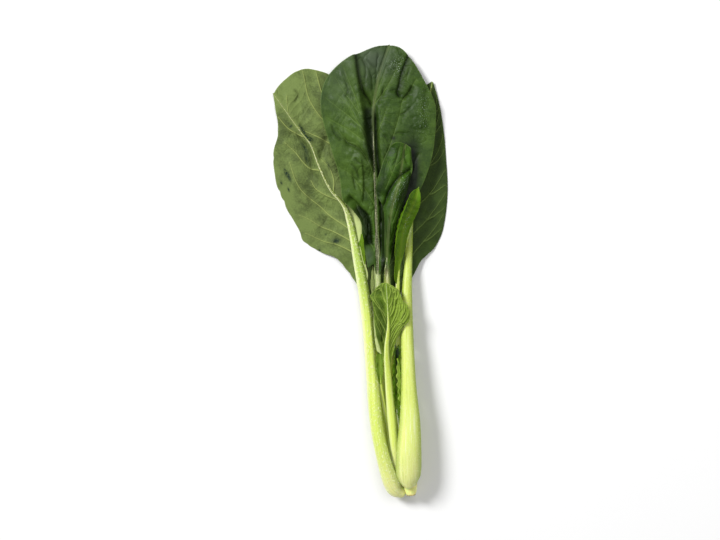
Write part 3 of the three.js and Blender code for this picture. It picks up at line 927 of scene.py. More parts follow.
def stalkMaterial(name, look):
    material, tree, shader = startMaterial(name)
    grain = groupNode(tree, stalkGrain, Fibre_Size=look["fibreSize"], Pore_Size=look["poreSize"])
    along, across, _ = partsOf(tree, readVector(tree, "stalk"))
    beside = reckon(tree, "ABSOLUTE", across)
    # painted shade on the stalk's right side, along the stretch given by shadeReach
    shade = times(tree, spread(tree, across, 0.1, 0.95, 0.0, look["shadeTint"]),
                  spread(tree, along, *look["shadeReach"], 0.2, 1.0))
    # painted highlight streaks low on the stalk
    streak = times(tree, spread(tree, grain["Fibre"], 0.5, 0.62), spread(tree, along, 0.12, 0.22))
    streak = times(tree, streak, spread(tree, along, 0.3, 0.46, look["streak"], 0.0))
    streak = times(tree, streak, spread(tree, beside, 0.2, 0.7, 1.0, 0.2))
    pore = spread(tree, grain["Pore"], 0.52, 0.66)
    colour = layColours(tree, look, "base", [
        ("middle", spread(tree, along, 0.0, look["baseReach"])),
        ("top", spread(tree, along, *look["topReach"])),
        ("tip", spread(tree, along, *look["tipReach"])),
        ("fibre", spread(tree, grain["Fibre"], 0.5, 0.68, 0.0, look["fibreTint"])),
        ("pale", spread(tree, grain["Fibre"], 0.5, 0.34, 0.0, look["paleTint"])),
        # the fibre green, laid again along both edges and over the right side, is painted shade
        ("fibre", spread(tree, beside, 0.55, 1.0, 0.0, look["edgeTint"])),
        ("fibre", shade),
        # painted light on the stalk's left side
        ("pale", spread(tree, across, -0.2, -0.9, 0.0, look["litTint"])),
        ("pale", streak),
        ("pale", times(tree, pore, look["poreTint"])),
    ])
    height = plus(tree, times(tree, grain["Fibre"], 0.6), times(tree, pore, look["poreHeight"]))
    dull = spread(tree, grain["Mottle"], 0.3, 0.7, *look["roughness"])
    setInputs(tree, shader, Base_Color=colour, Roughness=dull, Specular_IOR_Level=look["gloss"],
              Normal=bump(tree, height, look["bump"], 0.0005),
              Subsurface_Weight=look["glow"], Subsurface_Scale=0.003, Subsurface_Radius=(0.8, 1.0, 0.4))
    return material


def crownMaterial(look):
    material, tree, shader = startMaterial("crownSkin")
    place = addNode(tree, "ShaderNodeTexCoord").outputs["Object"]
    broad = noise(tree, place, 380.0, 4.0)
    fine = noise(tree, place, 1500.0)
    foot = readNumber(tree, "foot")
    rim = times(tree, foot, spread(tree, readNumber(tree, "ring"), 0.7, 1.0))
    colour = layColours(tree, look, "skin", [
        ("cut", foot),
        ("scar", times(tree, rim, spread(tree, broad, 0.42, 0.6))),
        ("scar", spread(tree, fine, 0.56, 0.72, 0.0, 0.5)),
    ])
    setInputs(tree, shader, Base_Color=colour, Roughness=spread(tree, broad, 0.3, 0.7, 0.45, 0.7),
              Normal=bump(tree, plus(tree, broad, fine), 0.5, 0.0005),
              Subsurface_Weight=0.25, Subsurface_Scale=0.002)
    return material


# colours are red, green and blue from 0 to 255
upperGreen = {
    "dark": (44, 68, 20), "light": (70, 96, 34), "base": (60, 96, 6), "baseReach": 0.45,
    "vein": (98, 124, 54), "veinTint": 0.45, "fineTint": 0.2, "netTint": 0.06, "netSize": 0.9,
    "halo": 0.1, "edgeTint": 0.5, "rib": (110, 120, 70), "ribTint": 0.4, "ribReach": 1.2,
    "glint": (206, 222, 206), "scuff": (20, 38, 18), "pale": (150, 172, 104), "bloom": (74, 88, 66),
    "deep": (12, 24, 6), "roughness": (0.38, 0.54), "gloss": 0.16,
    "veinHeight": -0.6, "netHeight": -0.12, "wrinkle": 0.9, "bump": 0.4,
}
upperDeep = {**upperGreen, "dark": (34, 62, 6), "light": (66, 102, 20), "base": (52, 86, 6)}
underOlive = {
    **upperGreen, "dark": (72, 86, 44), "light": (112, 130, 70), "base": (98, 118, 56), "baseReach": 0.22,
    "vein": (150, 164, 92), "veinTint": 0.85, "fineTint": 0.1, "netSize": 0.8,
    "halo": 0.12, "edgeTint": 0.3, "rib": (150, 164, 92), "ribTint": 0.2, "ribReach": 0.9,
    "scuff": (26, 46, 30), "pale": (186, 200, 128), "bloom": (136, 152, 100), "deep": (50, 56, 24),
    "roughness": (0.52, 0.68), "gloss": 0.14,
    "veinHeight": 0.9, "netHeight": 0.12, "wrinkle": 0.8, "bump": 0.5,
}
# a darker copy of the underside green, painted shade for blades that lie in shade
underShade = {**underOlive, "dark": (38, 56, 18), "light": (56, 76, 28), "base": (52, 74, 22),
              "vein": (88, 108, 50), "deep": (10, 20, 4)}
youngBright = {
    **upperGreen, "dark": (48, 84, 2), "light": (84, 126, 6), "base": (84, 120, 10), "baseReach": 0.3,
    "vein": (112, 144, 26), "veinTint": 0.4, "fineTint": 0.18, "netSize": 1.1,
    "edgeTint": 0.4, "rib": (128, 160, 40),
    "scuff": (28, 48, 8), "pale": (170, 190, 90), "bloom": (120, 140, 80), "deep": (16, 32, 4),
    "roughness": (0.38, 0.52), "gloss": 0.12,
    "veinHeight": 0.8, "netHeight": 0.15, "wrinkle": 0.8, "bump": 0.6,
}
youngUnder = {**youngBright, "dark": (66, 94, 14), "light": (122, 150, 42), "base": (140, 168, 52),
              "vein": (166, 192, 84), "veinTint": 0.62, "fineTint": 0.16, "roughness": (0.45, 0.6)}
paleStalk = {
    "base": (224, 228, 146), "middle": (210, 226, 98), "top": (196, 214, 84), "tip": (178, 192, 116),
    "baseReach": 0.3, "topReach": (0.5, 1.0), "tipReach": (1.15, 1.4),
    "fibre": (140, 166, 36), "pale": (240, 246, 190), "fibreTint": 0.3, "paleTint": 0.3, "edgeTint": 0.3,
    "shadeTint": 0.6, "shadeReach": (0.05, 0.4), "litTint": 0.5, "streak": 0.0,
    "fibreSize": 1.3, "poreSize": 1.5, "poreTint": 0.26, "poreHeight": 0.5,
    "roughness": (0.3, 0.46), "gloss": 0.4, "glow": 0.25, "bump": 0.35,
}
oliveStalk = {
    **paleStalk, "base": (232, 232, 156), "top": (178, 204, 84), "tip": (140, 152, 82),
    "topReach": (0.78, 1.1), "tipReach": (1.2, 1.42), "fibre": (110, 138, 28), "fibreTint": 0.2,
    "shadeTint": 0.8, "shadeReach": (0.55, 0.95), "litTint": 0.8,
    "poreSize": 1.0, "poreTint": 0.5, "poreHeight": 0.9, "bump": 0.6,
}
greyStalk = {
    **paleStalk, "middle": (226, 240, 100), "top": (160, 176, 104), "tip": (64, 68, 38),
    "fibre": (84, 112, 26), "topReach": (0.74, 0.95), "tipReach": (0.985, 1.03),
    "fibreTint": 0.5, "paleTint": 0.6, "edgeTint": 0.5, "shadeTint": 0.8, "shadeReach": (0.6, 0.9),
    "litTint": 0.0, "poreSize": 2.0, "poreTint": 0.25,
}
wideStalk = {**paleStalk, "middle": (220, 233, 116), "tip": (112, 140, 40), "tipReach": (1.05, 1.3),
             "litTint": 0.0, "edgeTint": 0.7, "shadeTint": 0.3, "streak": 1.0}
youngStalk = {**paleStalk, "middle": (216, 232, 102), "tip": (134, 164, 66), "tipReach": (1.35, 1.6),
              "shadeTint": 0.5}
brownStalk = {**greyStalk, "top": (86, 86, 44), "tip": (60, 84, 28), "topReach": (0.85, 1.0),
              "poreTint": 0.15}
greenStalk = {**paleStalk, "top": (196, 214, 92), "tip": (112, 140, 40), "tipReach": (1.05, 1.3)}
heartStalk = {**paleStalk, "base": (150, 176, 60), "middle": (84, 118, 24), "top": (70, 104, 18),
              "tip": (60, 94, 14), "paleTint": 0.1}
crownLook = {"skin": (242, 244, 150), "cut": (236, 230, 166), "scar": (176, 150, 78)}

skins = {}
for name, look in (("oliveBack", underOlive), ("greenFace", upperGreen), ("deepFace", upperDeep),
                   ("shadeBack", underShade), ("brightSkin", youngBright), ("youngBack", youngUnder)):
    skins[name] = leafMaterial(name, look)
for name, look in (("oliveSkin", oliveStalk), ("greySkin", greyStalk), ("brownSkin", brownStalk),
                   ("greenSkin", greenStalk), ("heartSkin", heartStalk), ("wideSkin", wideStalk),
                   ("youngSkin", youngStalk)):
    skins[name] = stalkMaterial(name, look)
print(len(skins), "materials made")

makeCrown(crownMaterial(crownLook))

# What a leaf has unless its own lines say otherwise. A route's rows are x, y, z, roll, width and
# thickness. The left and right margins are given along the midrib and away from it. Rise and curl are
# how steeply each half leaves the midrib and how fast it turns, in degrees, from its start to its tip.
# A spot is its place along and across, its reach along and across, and its strength.
leafBasis = {
    "underside": False, "drapes": False, "lobe": False, "rise": [(0, 0)] * 5, "curl": [(0, 0)] * 5,
    "calm": (0.4, 3.5),     # beside the midrib its relief starts at the first and is full at the second
    "crumple": 0, "scallop": (3, 0), "creaseLook": (-0.8, 0.5),
    "veins": [], "folds": [], "creases": [],
    "wet": [], "scuffs": [], "tints": [], "pales": [], "blooms": [], "deeps": [],
}
stalkBasis = {"root": 2, "sides": 32, "ribs": 13, "ribHeight": 0.04, "keels": []}
heartStalkBasis = {**stalkBasis, "sides": 24, "ribs": 9, "thin": [(0, 1), (100, 1)]}

# a blade that drapes settles on what was laid before it, so the order of the calls below matters

# the large leaf at the left, its underside up
outerLeft = {
    **leafBasis, "node": "outer_left", "underside": True, "drapes": True, "seed": 11, "pitch": 0.5,
    "start": 135, "wrap": 1.6, "sink": -0.2, "crumple": 0.4, "gully": 0.5, "wave": 0.9, "ruffle": 0.5,
    "ruffleSize": 9, "scallop": (7, 0.8),
    "route": [
        (-0.6, -2.4, 9.2, 20, 7, 4.2), (-6.9, 2.4, 11.6, 34, 12, 5.2), (-12.5, 19, 12.2, 54, 13, 5.8),
        (-17, 43, 10, 48, 10.6, 5.6), (-19.8, 75, 7, 14, 7.6, 5.4), (-23.2, 113, 5.5, 5, 7.2, 5),
        (-28.4, 143, 4.9, 0, 6.2, 4.2), (-35.4, 174, 4.5, 0, 3, 2.6), (-46, 188.6, 4.3, 0, 2.3, 2.1),
        (-53, 203, 4.1, 0, 2, 1.9), (-58, 216, 3.8, 0, 1.7, 1.6), (-66, 226.6, 3.4, 0, 1.4, 1.4),
        (-82, 249, 1.9, 0, 0.9, 0.9)],
    "left": [
        (0, 3), (10, 7), (21, 13), (27, 21), (35, 28.5), (47, 32.8), (68, 30), (86, 29.4), (98, 26.6),
        (107, 20), (114, 13), (122, 7.6), (130, 3.8), (136.4, 0.4)],
    "right": [
        (0, 3), (8, 4.3), (16, 5), (24, 4.4), (29, 4.2), (32, 6.4), (39, 8.4), (46, 11), (62, 21.5),
        (78, 28), (96, 32), (112, 36), (124, 36.5), (136, 28.3), (140, 20), (140, 11), (138.6, 4.5),
        (136.4, 0.4)],
    "rise": [(-12, 6), (-9, 0), (-6, -2), (-4, 2), (-2, 2)],
    "curl": [(0, 0), (-0.1, 0), (-0.1, 0), (0, -0.1), (0, -0.25)],
    "veinLook": {"count": (0, 0), "width": 0.42, "rung": 5, "puff": 0.55, "puffWidth": 3.6,
                 "ridge": 0.32},
    "veins": [
        [(86, 16), (95, 9), (103, 4), (110, 0.6), (119, 0), (124, 2), (130, 5.6)],
        [(74, 22), (88, 18.5), (104, 16), (114, 15.5), (123, 17), (137, 23)],
        [(112, 23), (122, 26), (133, 30)], [(37, -1), (51, -11), (63, -13), (77, -17), (93, -17)],
        [(80, -1), (84, -6), (90, -9), (98, -11), (106, -12)],
        [(29, -1), (40, -12), (48, -20), (60, -26)], [(22, -1), (30, -11), (35, -19), (46, -29)],
        [(64, 0.8), (70, 4.6), (78, 5.6), (85, 3)], [(52, 0.6), (60, 8), (72, 15), (84, 24)],
        [(104, -1), (113, -5), (122, -6)], [(58, -1), (70, -7.5), (76, -8.5)]],
    "folds": [
        fold([(84, 2), (90, 6), (97, 12)], (3, 1.5), height=-1.6),
        fold([(74, -28), (63, -31), (50, -33), (40, -32), (33, -27), (24, -19), (12, -8)], (6, 4.5),
             height=2.2),
        fold([(10, 2), (26, 4), (44, 6)], (3, 6), height=1.2),
        fold([(2, 4), (12, 5), (24, 5), (34, 6)], (2, 3), height=1.6),
        fold([(50, -9), (62, -11), (76, -8), (90, -3), (102, 0)], (5, 3), height=-1.5),
        fold([(100, -3), (114, 4), (128, 12)], (4, 4), height=-0.8)],
    "creases": [
        [(70.8, -22.4), (66.7, -19.7), (63.4, -18.3), (63.7, -13.7)],
        [(71.6, -14.9), (67.3, -14.4), (63.4, -18.3)], [(132, 12), (127.4, 12.5), (124.1, 7)],
        [(92, -2.4), (86, -4.4), (78, -7)], [(52, -12), (48, -17), (46, -22)],
        [(110, -2), (104, -3.2), (97, -2.2)]],
    "scuffs": [
        (108, 1.6, 3, 0.7, 1.5), (103.4, 0.6, 3, 0.7, 1.6), (100, 1.6, 1.4, 1.4, 1.7),
        (96.4, -4.4, 5, 0.8, 1.2), (90, -6.2, 3.4, 0.7, 1), (113.6, -2.9, 0.9, 1.4, 1.1),
        (89.4, -21.6, 2.4, 0.8, 1.7), (85.6, -20.4, 2.6, 0.8, 1.7), (85.1, -26.4, 1.2, 0.6, 1.3),
        (79.1, -23.9, 1.4, 0.6, 1.4), (32.8, -11.4, 1.6, 2.6, 1.5), (29.3, -22.8, 1, 0.8, 1.2),
        (80, 5.6, 3.4, 0.8, 0.9), (39.9, -17.2, 0.8, 0.8, 0.9)],
    "tints": [
        (133, 8, 9, 12, 0.8), (127, 14, 4, 5, -0.55), (121, 6, 6, 5, 0.4), (109, 10, 6, 4, 0.3),
        (52, -28, 26, 7, 0.5), (84, -27, 14, 6, 0.45), (99, -4, 7, 4, -0.2), (86, -7, 9, 4, -0.3),
        (73, -12, 9, 4, -0.25), (62, -18, 4, 6, -0.2), (50, -16, 6, 4, -0.2), (112, -6, 8, 4, -0.4),
        (62, -5, 8, 4, 0.4), (45, -7, 9, 4, 0.35)],
    # the pale strip beside the stalk is painted light
    "pales": [(26, 4.6, 24, 2.6, 1.4), (38, 6, 9, 3, 0.8)],
    "deeps": [(98, 9.4, 5, 1.6, 0.55), (92, 6.6, 4, 1, 0.4)],
    "stalk": {
        **stalkBasis, "root": 1, "sides": 56, "ribs": 23, "ribHeight": 0.06,
        "thin": [(0, 1), (165, 1), (180, 1.25), (192, 0.75), (210, 0.6), (235, 0.5), (255, 0.35),
                 (300, 0.3)],
        "keels": [{"angle": 62, "height": 0.45, "spread": 14, "from": (10, 40), "to": (110, 160)}]},
}
makeBlade(outerLeft, ("greenFace", "oliveBack"))
makeStalk(outerLeft, "oliveSkin")

# the wide stalk at the right of the crown, its blade under the others
spoonFront = {
    **leafBasis, "node": "spoon_front", "underside": True, "drapes": True, "seed": 37, "pitch": 0.5,
    "start": 130, "wrap": 2.8, "sink": -0.2, "gully": 0.5, "wave": 0.6, "ruffle": 0.5, "ruffleSize": 9,
    "route": [
        (3.3, 3.4, 16.8, 0, 9, 4), (2.8, 11, 18.6, 0, 15.2, 6.4), (3, 25, 19, 0, 15.6, 7),
        (3.6, 44, 17.4, 0, 12.8, 6.6), (3, 66, 15.2, 0, 9.4, 6.2), (2.2, 92, 12.4, 0, 8, 5.8),
        (2, 118, 9.2, 0, 6.8, 5.2), (3, 142, 6.2, 0, 5, 4), (5, 168.8, 3.9, 0, 3.2, 2.8),
        (8.8, 203.5, 3.2, 0, 2, 2), (13.6, 232, 2.8, 0, 1.5, 1.5), (18.3, 256, 1.9, 0, 0.9, 0.9)],
    "left": [
        (0, 1.5), (2, 5.5), (5, 9), (12, 11.6), (26, 16), (44, 20.4), (62, 22.4), (82, 21.4), (102, 17),
        (117, 9), (125, 0.4)],
    "right": [
        (0, 2.6), (3, 4.2), (7, 6), (12, 8.4), (16, 12), (22, 17), (34, 21), (56, 21.4), (78, 17.8),
        (98, 12.4), (113, 6.8), (125, 0.4)],
    "rise": [(-9, -10), (-9, -9), (-7, -7), (-6, -6), (-4, -4)],
    "veinLook": {"count": (6, 6), "sweep": 0.26, "reach": 0.92, "fork": 0.08, "width": 0.45, "rung": 5,
                 "puff": 0.6, "puffWidth": 4, "ridge": 0.3},
    "stalk": {
        **stalkBasis, "root": 0.4, "sides": 64, "ribs": 29, "ribHeight": 0.06,
        "thin": [(0, 1), (150, 1), (170, 0.7), (300, 0.6)],
        "keels": [{"angle": 118, "height": 0.25, "spread": 12, "from": (20, 50), "to": (90, 130)}]},
}
# its upturned underside takes the darker copy: painted shade
makeBlade(spoonFront, ("greenFace", "shadeBack"))

# the two heart leaves, thin and deep between the stalks
heartLeft = {
    **leafBasis, "node": "heart_left", "seed": 71, "pitch": 0.3, "start": 52, "wrap": 0.2, "sink": 0.2,
    "gully": 0.3, "wave": 0.2, "ruffle": 0.8, "ruffleSize": 2.6, "scallop": (2.2, 0.7),
    "route": [
        (-6.6, 15, 9.4, 0, 2.6, 2), (-9.6, 40, 8.8, 0, 2.4, 2), (-13.4, 60, 8.4, 0, 2, 1.7),
        (-14.9, 76, 8.4, 0, 1.4, 1.3), (-15.2, 98, 9.2, 0, 0.9, 0.9)],
    "left": [(0, 0.6), (4, 1.8), (8, 2.4), (16, 2.3), (20, 1.2), (26, 1), (31, 0.4)],
    "right": [(0, 0.6), (4, 1.6), (10, 2.4), (18, 2.6), (24, 2.2), (31, 0.4)],
    "rise": [(24, 20), (24, 18), (20, 14), (16, 10), (16, 10)],
    "veinLook": {"count": (5, 5), "sweep": 0.2, "reach": 0.9, "fork": 0.08, "width": 0.3, "rung": 1.6,
                 "puff": 0.8, "puffWidth": 1, "ridge": 0.25},
    "tints": [(12, 0, 20, 6, 1)],
    "pales": [(11, 0, 9, 3, 0.3)],
    "stalk": heartStalkBasis,
}
heartRight = {
    **leafBasis, "node": "heart_right", "seed": 83, "pitch": 0.3, "start": 33, "wrap": 0.2, "sink": 0.2,
    "gully": 0.3, "wave": 0.2, "ruffle": 1.8, "ruffleSize": 2.6, "scallop": (2.6, 1.8),
    "route": [
        (2.6, 15, 13, 0, 2.6, 1.9), (-1.6, 36, 12.4, 0, 2.2, 1.8), (-4.2, 54, 12, 0, 1.7, 1.5),
        (-4.6, 70, 12, 0, 1.3, 1.2), (-4.3, 87, 12.2, 0, 0.9, 0.9)],
    "left": [(0, 0.8), (10, 1.8), (22, 2.4), (34, 2.2), (40, 2), (44, 0.4)],
    "right": [(0, 0.8), (8, 2.6), (22, 3.4), (34, 3.2), (41, 2.6), (44, 0.4)],
    "rise": [(25, 25)] * 5,
    "veinLook": {"count": (5, 5), "sweep": 0.2, "reach": 0.9, "fork": 0.08, "width": 0.22, "rung": 2,
                 "puff": 0.3, "puffWidth": 1.2, "ridge": 0.12},
    "tints": [(14, 2.4, 14, 1.4, 0.9)],
    "deeps": [(24, 0, 30, 1.1, 0.8), (38, 0.6, 6, 2.4, 0.9)],
    "stalk": heartStalkBasis,
}

# the broad dark leaf in the middle, its upper face up
broadCentre = {
    **leafBasis, "node": "broad_centre", "drapes": True, "seed": 23, "pitch": 0.51, "start": 132,
    "wrap": 1.4, "sink": 0.02, "calm": (0.4, 1.6), "crumple": 0.5, "gully": 0.6, "wave": 0.5,
    "ruffle": 0.5, "ruffleSize": 8,
    "route": [
        (-3.5, 4, 2.8, 0, 10, 4.4), (-8, 22, 3.1, 0, 10.6, 5.6), (-12.4, 48, 3.2, 0, 9, 5.8),
        (-14.6, 80, 3.2, 0, 7.4, 5.6), (-15.7, 115, 3.6, 0, 6, 5), (-16.4, 150, 4.6, 0, 3.4, 3.8),
        (-17.5, 185, 6, 0, 2.2, 2.6), (-18.9, 220, 6.5, 0, 1.9, 2.1), (-18.6, 240, 6.1, 0, 1.7, 1.9),
        (-15.2, 260, 5, 0, 1.4, 1.5), (-8.8, 279.4, 3, 0, 0.9, 0.9)],
    "left": [
        (0, 1), (3, 1.9), (7, 2.8), (5.6, 4.8), (4.4, 6.4), (7.5, 7), (12, 7.6), (22, 9.2), (31, 8.8),
        (38, 11.8), (46, 19.6), (51, 21.2), (62, 22), (78, 26), (91, 30.1), (101.4, 32.8), (110, 33.4),
        (118, 31.2), (127, 24.6), (135, 15.8), (141.6, 7.6), (145, 0.4)],
    "right": [
        (0, 1.2), (4, 3.2), (12, 6.4), (26, 14), (42, 22.5), (58, 31), (74, 36.5), (92, 39), (108, 38.6),
        (119, 35), (129, 28), (138.4, 19), (144.6, 9.8), (145.8, 4), (145, 0.4)],
    "rise": [(10, 12), (4, 10), (2, 8), (0, 6), (0, 4)],
    "curl": [(-0.4, -0.3), (-0.3, -0.45), (-0.2, -0.5), (-0.1, -0.5), (-0.1, -0.4)],
    "veinLook": {"count": (0, 0), "width": 0.36, "rung": 4.6, "puff": 1, "puffWidth": 4, "ridge": 0.2},
    "veins": [
        [(60, 1), (72, 6.8), (83, 11.3), (99, 16.1), (111, 17.3)], [(111, 17.3), (118, 20.5), (128, 23)],
        [(60, -1), (69, -3.1), (81, -10.4), (84, -16.5), (90, -22)],
        [(78, -1), (90, -6.6), (97, -11.2), (104.5, -16.2), (110, -24)],
        [(44, -1), (54, -6.7), (58, -13)], [(100, -8), (108, -11.4), (115, -15.6), (124, -22)],
        [(106, 0), (121, 2), (132, 3)], [(107, 0.5), (117, 5.8), (125, 8.1), (136, 10)],
        [(106, -0.5), (109, -3.8), (113, -8), (118.5, -11.1), (126, -14.4), (133, -17.6)],
        [(30, 1), (44, 9), (58, 18), (74, 28)], [(84, 1), (96, 6), (104, 8)],
        [(100, -9), (106, -14), (112, -20), (118, -26)], [(92, -8), (98, -15), (103, -23), (107, -30)],
        [(84, -7), (90, -15), (94, -23), (97, -29)], [(52, -8), (62, -14), (68, -22)],
        [(30, -4), (36, -8), (44, -12)], [(16, -2.6), (22, -5), (29.5, -8.4)]],
    "folds": [
        fold([(62, -1.2), (68.6, -2.6), (77, -4), (86, -5.6), (97.5, -6.8), (108, -9.4), (118, -12.3),
             (127, -15.5), (137, -19.5)], (8, 2), height=4.6, power=1.7, fade=(0.12, 0)),
        fold([(65, -0.9), (77, -2), (90, -3), (106, -4)], (2.7, 3.3), height=-0.6, dark=0.92, power=4,
             fade=(0.2, 0.1)),
        fold([(104, -0.6), (109, -3.8), (113, -8), (118.5, -11.1), (126, -14.4), (135, -18.4)],
             (0.8, 1.5), height=-2.4, dark=0.85, power=1.4, fade=(0.1, 0)),
        fold([(8, 2.4), (30, 2.8), (50, 3.4), (62, 3), (72, 2.2), (84, 1.6), (98, 1.2), (107, 0.4)],
             (1.5, 2), height=-2.4, dark=0.95, power=2.5, fade=(0.1, 0.1)),
        fold([(56, 7), (72, 5.4), (84, 4.4), (96, 3.8), (110, 3)], (1.8, 9), height=2, fade=(0.2, 0.3)),
        fold([(0, 3.4), (12, 4), (28, 4.4), (46, 4.8)], (1.8, 2.6), dark=0.95, power=3, fade=(0.02, 0.2)),
        fold([(14, -2.2), (17.8, -2.2), (24, -2.4), (30.5, -2.8), (35.4, -4.2), (37.6, -4.6),
             (41.5, -8.2), (47.8, -14), (51, -17)], (5.5, 0.5), height=-3.8, power=1.3, fade=(0.2, 0.1)),
        fold([(18, -2), (30.5, -2.4), (37.6, -4.2), (41.5, -7.8), (45.6, -11.6)], (7, 0.4), dark=0.95,
             lean=-1, power=4, fade=(0.06, 0.14)),
        fold([(43.2, -8.6), (49.5, -7.4), (61, -6.8), (74, -7.5)], (0.7, 3.6), height=-1.4, dark=0.3),
        fold([(68.8, -2.7), (75.6, -6.1), (79.7, -10.6), (82.4, -15.9), (86.4, -18.5)], (1.8, 0.9),
             height=-1.8, dark=0.6, power=1.3),
        fold([(104.5, -12), (115, -17.2), (124, -23)], (1.4, 1.2), height=-0.8, dark=0.2, power=1.2),
        fold([(112, 16.6), (116, 13.4), (121.5, 13.5), (131, 13.2), (142, 13.6)], (1, 2.6), height=-2.2,
             dark=0.9, power=1.3, fade=(0.1, 0)),
        fold([(112, 17.2), (118, 20.5), (124, 21.9)], (0.9, 1.6), height=-1.5, dark=0.7, power=1.3),
        fold([(108, -20), (100.2, -12.6), (90.9, -7.4), (84, -5.9)], (1.2, 2), height=1.1),
        fold([(96.1, -6.3), (92, -3.3), (93, -0.4)], (0.7, 0.7), height=1.2),
        fold([(100.8, -7.5), (98, -4.3), (99.2, -0.8)], (0.7, 0.7), height=1.2),
        fold([(106, 0), (114, 0), (123, -1.2), (131, -3.2), (141, -5.6)], (0.8, 0.8), height=-0.6,
             dark=0.4, power=1.2),
        fold([(90, 31), (106, 28.9), (119, 27.6), (128, 26.5)], (5, 2.4), height=1.4)],
    "creases": [
        [(128.5, -2.5), (130.5, -6.8), (133, -11)],
        [(119, -7.6), (125.5, -8.5), (130, -10.9), (134, -15)],
        [(112.4, -1.5), (118, -2.6), (124.1, -4.8), (128.3, -8.1), (132.8, -12.9)],
        [(73.5, -12.2), (70.1, -9.8), (69.2, -7.3)], [(60, -9.6), (65.1, -11.2), (70.6, -15)],
        [(116.2, 8.3), (117.6, 12.3), (112.4, 16.2)], [(87.7, 5.9), (85.6, 7.9), (81.4, 9.9)],
        [(87.6, 13.1), (88.6, 16.2), (87.4, 20.3)], [(124, 14), (130, 17), (136, 17)],
        [(100, 15.6), (103, 20), (108, 23)], [(94, -26), (88, -24), (83, -19)],
        [(118, -20), (112, -17), (108, -19)], [(66, -14), (58, -13), (52, -12)],
        [(106, 2), (112, 4), (120, 4.4)]],
    "wet": [(134, 10.8, 7, 2.4, 1), (104, 30.5, 16, 3, 1), (135, 6, 4, 3, 0.8)],
    "tints": [
        (72, -14, 24, 10, 0.35), (80, 16, 34, 14, -0.35), (16, -7, 5, 4, 0.4), (112, 14, 26, 12, -0.25)],
    "blooms": [(134, -6, 10, 12, 1.2), (114, -24, 14, 9, 0.5), (12, -5.6, 7, 3.4, 1)],
    "deeps": [
        (70, 25, 18, 4, 0.9), (85, 12.6, 1.4, 1.4, 1), (79, 19, 2.2, 3, 0.9), (133, 8, 12, 8, 0.14),
        (40, 16, 24, 6, 1.5), (60, 20, 16, 5, 1.5), (22, 12, 16, 5, 1.2), (120, -6, 14, 5, 0.3),
        (84, -4.4, 22, 2.4, 0.5)],
    "stalk": {
        **stalkBasis, "root": 1, "sides": 48, "ribs": 19, "ribHeight": 0.05,
        "thin": [(0, 1), (100, 1), (116, 0.9), (128, 0.92), (136, 1.15), (142, 1.3), (160, 0.95),
                 (200, 0.66), (225, 0.44), (238, 0.26), (244, 0.08), (300, 0.05)]},
}
makeStalk(heartLeft, "youngSkin")
makeBlade(broadCentre, ("greenFace", "shadeBack"))
makeStalk(broadCentre, "greySkin")
makeStalk(spoonFront, "wideSkin")
makeBlade(heartLeft, ("brightSkin", "brightSkin"))

# the small lobes that grow low on the stalks, each from its lower end
lobeBasis = {
    **leafBasis, "underside": True, "lobe": True, "pitch": 0.26, "start": 0, "sink": 0, "gully": 0.1,
    "wave": 0.1, "ruffle": 0.5, "ruffleSize": 3, "scallop": (2.4, 0.5),
    "veinLook": {"count": (3, 3), "sweep": 0.2, "reach": 0.9, "fork": 0.08, "width": 0.16, "rung": 3,
                 "puff": 0.2, "puffWidth": 1.2, "ridge": 0.08},
}
# a pale one whose point is toward the crown
stalkLobe = {
    **lobeBasis, "node": "stalk_lobe", "seed": 97,
    "route": [
        (-14, 85.6, 12.6, 0, 1, 1), (-16, 92, 12.8, 0, 1, 1), (-17.2, 100, 12.6, 0, 1, 1),
        (-18.2, 107.6, 11.6, 0, 1, 1)],
    "left": [(0, 0.3), (2, 1.8), (5, 1.9), (12, 1.4), (20, 0.9), (22.4, 0.3)],
    "right": [(0, 0.3), (3, 0.5), (8, 1.2), (14, 1.6), (20, 1), (22.4, 0.3)],
    "rise": [(-14, 8)] * 5,
    "pales": [(10, 0, 30, 12, 1.2)],
}
# dark ones deep between the stalks where the blades begin
shadeLobe = {
    **lobeBasis, "node": "shade_lobe", "seed": 103,
    "route": [
        (-20.5, 118, 3.6, 0, 1, 1), (-21.5, 128, 3.4, 0, 1, 1), (-22, 138, 3, 0, 1, 1),
        (-22, 148, 2.6, 0, 1, 1)],
    "left": [(0, 0.4), (3, 2), (8, 3), (14, 3.4), (22, 3.6), (28, 3.2), (30, 0.4)],
    "right": [(0, 0.4), (3, 2.6), (8, 3.8), (14, 4.4), (22, 4.8), (28, 4.2), (30, 0.4)],
    "rise": [(12, -6)] * 5,
}
gapLobe = {
    **lobeBasis, "node": "gap_lobe", "seed": 107,
    "route": [
        (-7.6, 117, 2.6, 0, 1, 1), (-8.4, 128, 3.4, 0, 1, 1), (-9.4, 140, 4.2, 0, 1, 1),
        (-10, 150, 4.2, 0, 1, 1)],
    "left": [(0, 0.4), (3, 2.6), (8, 4.6), (14, 5), (24, 5), (30, 3.6), (33, 0.4)],
    "right": [(0, 0.4), (3, 4.6), (8, 7.4), (14, 8.6), (24, 9), (30, 6), (33, 0.4)],
    "rise": [(0, 4)] * 5,
}
# a bright one beside the outer leaf's flap, its point down
flapLobe = {
    **lobeBasis, "node": "flap_lobe", "seed": 109,
    "route": [
        (-24.2, 141.4, 7, 0, 1, 1), (-24.9, 147, 7.6, 0, 1, 1), (-25.9, 153, 8.2, 0, 1, 1),
        (-26.2, 160, 7.8, 0, 1, 1)],
    "left": [(0, 0.3), (4, 0.9), (10, 1.1), (13, 1.9), (16, 1), (19, 0.3)],
    "right": [(0, 0.3), (4, 0.8), (10, 1.2), (15, 1.3), (19, 0.3)],
    "rise": [(0, -10)] * 5,
}
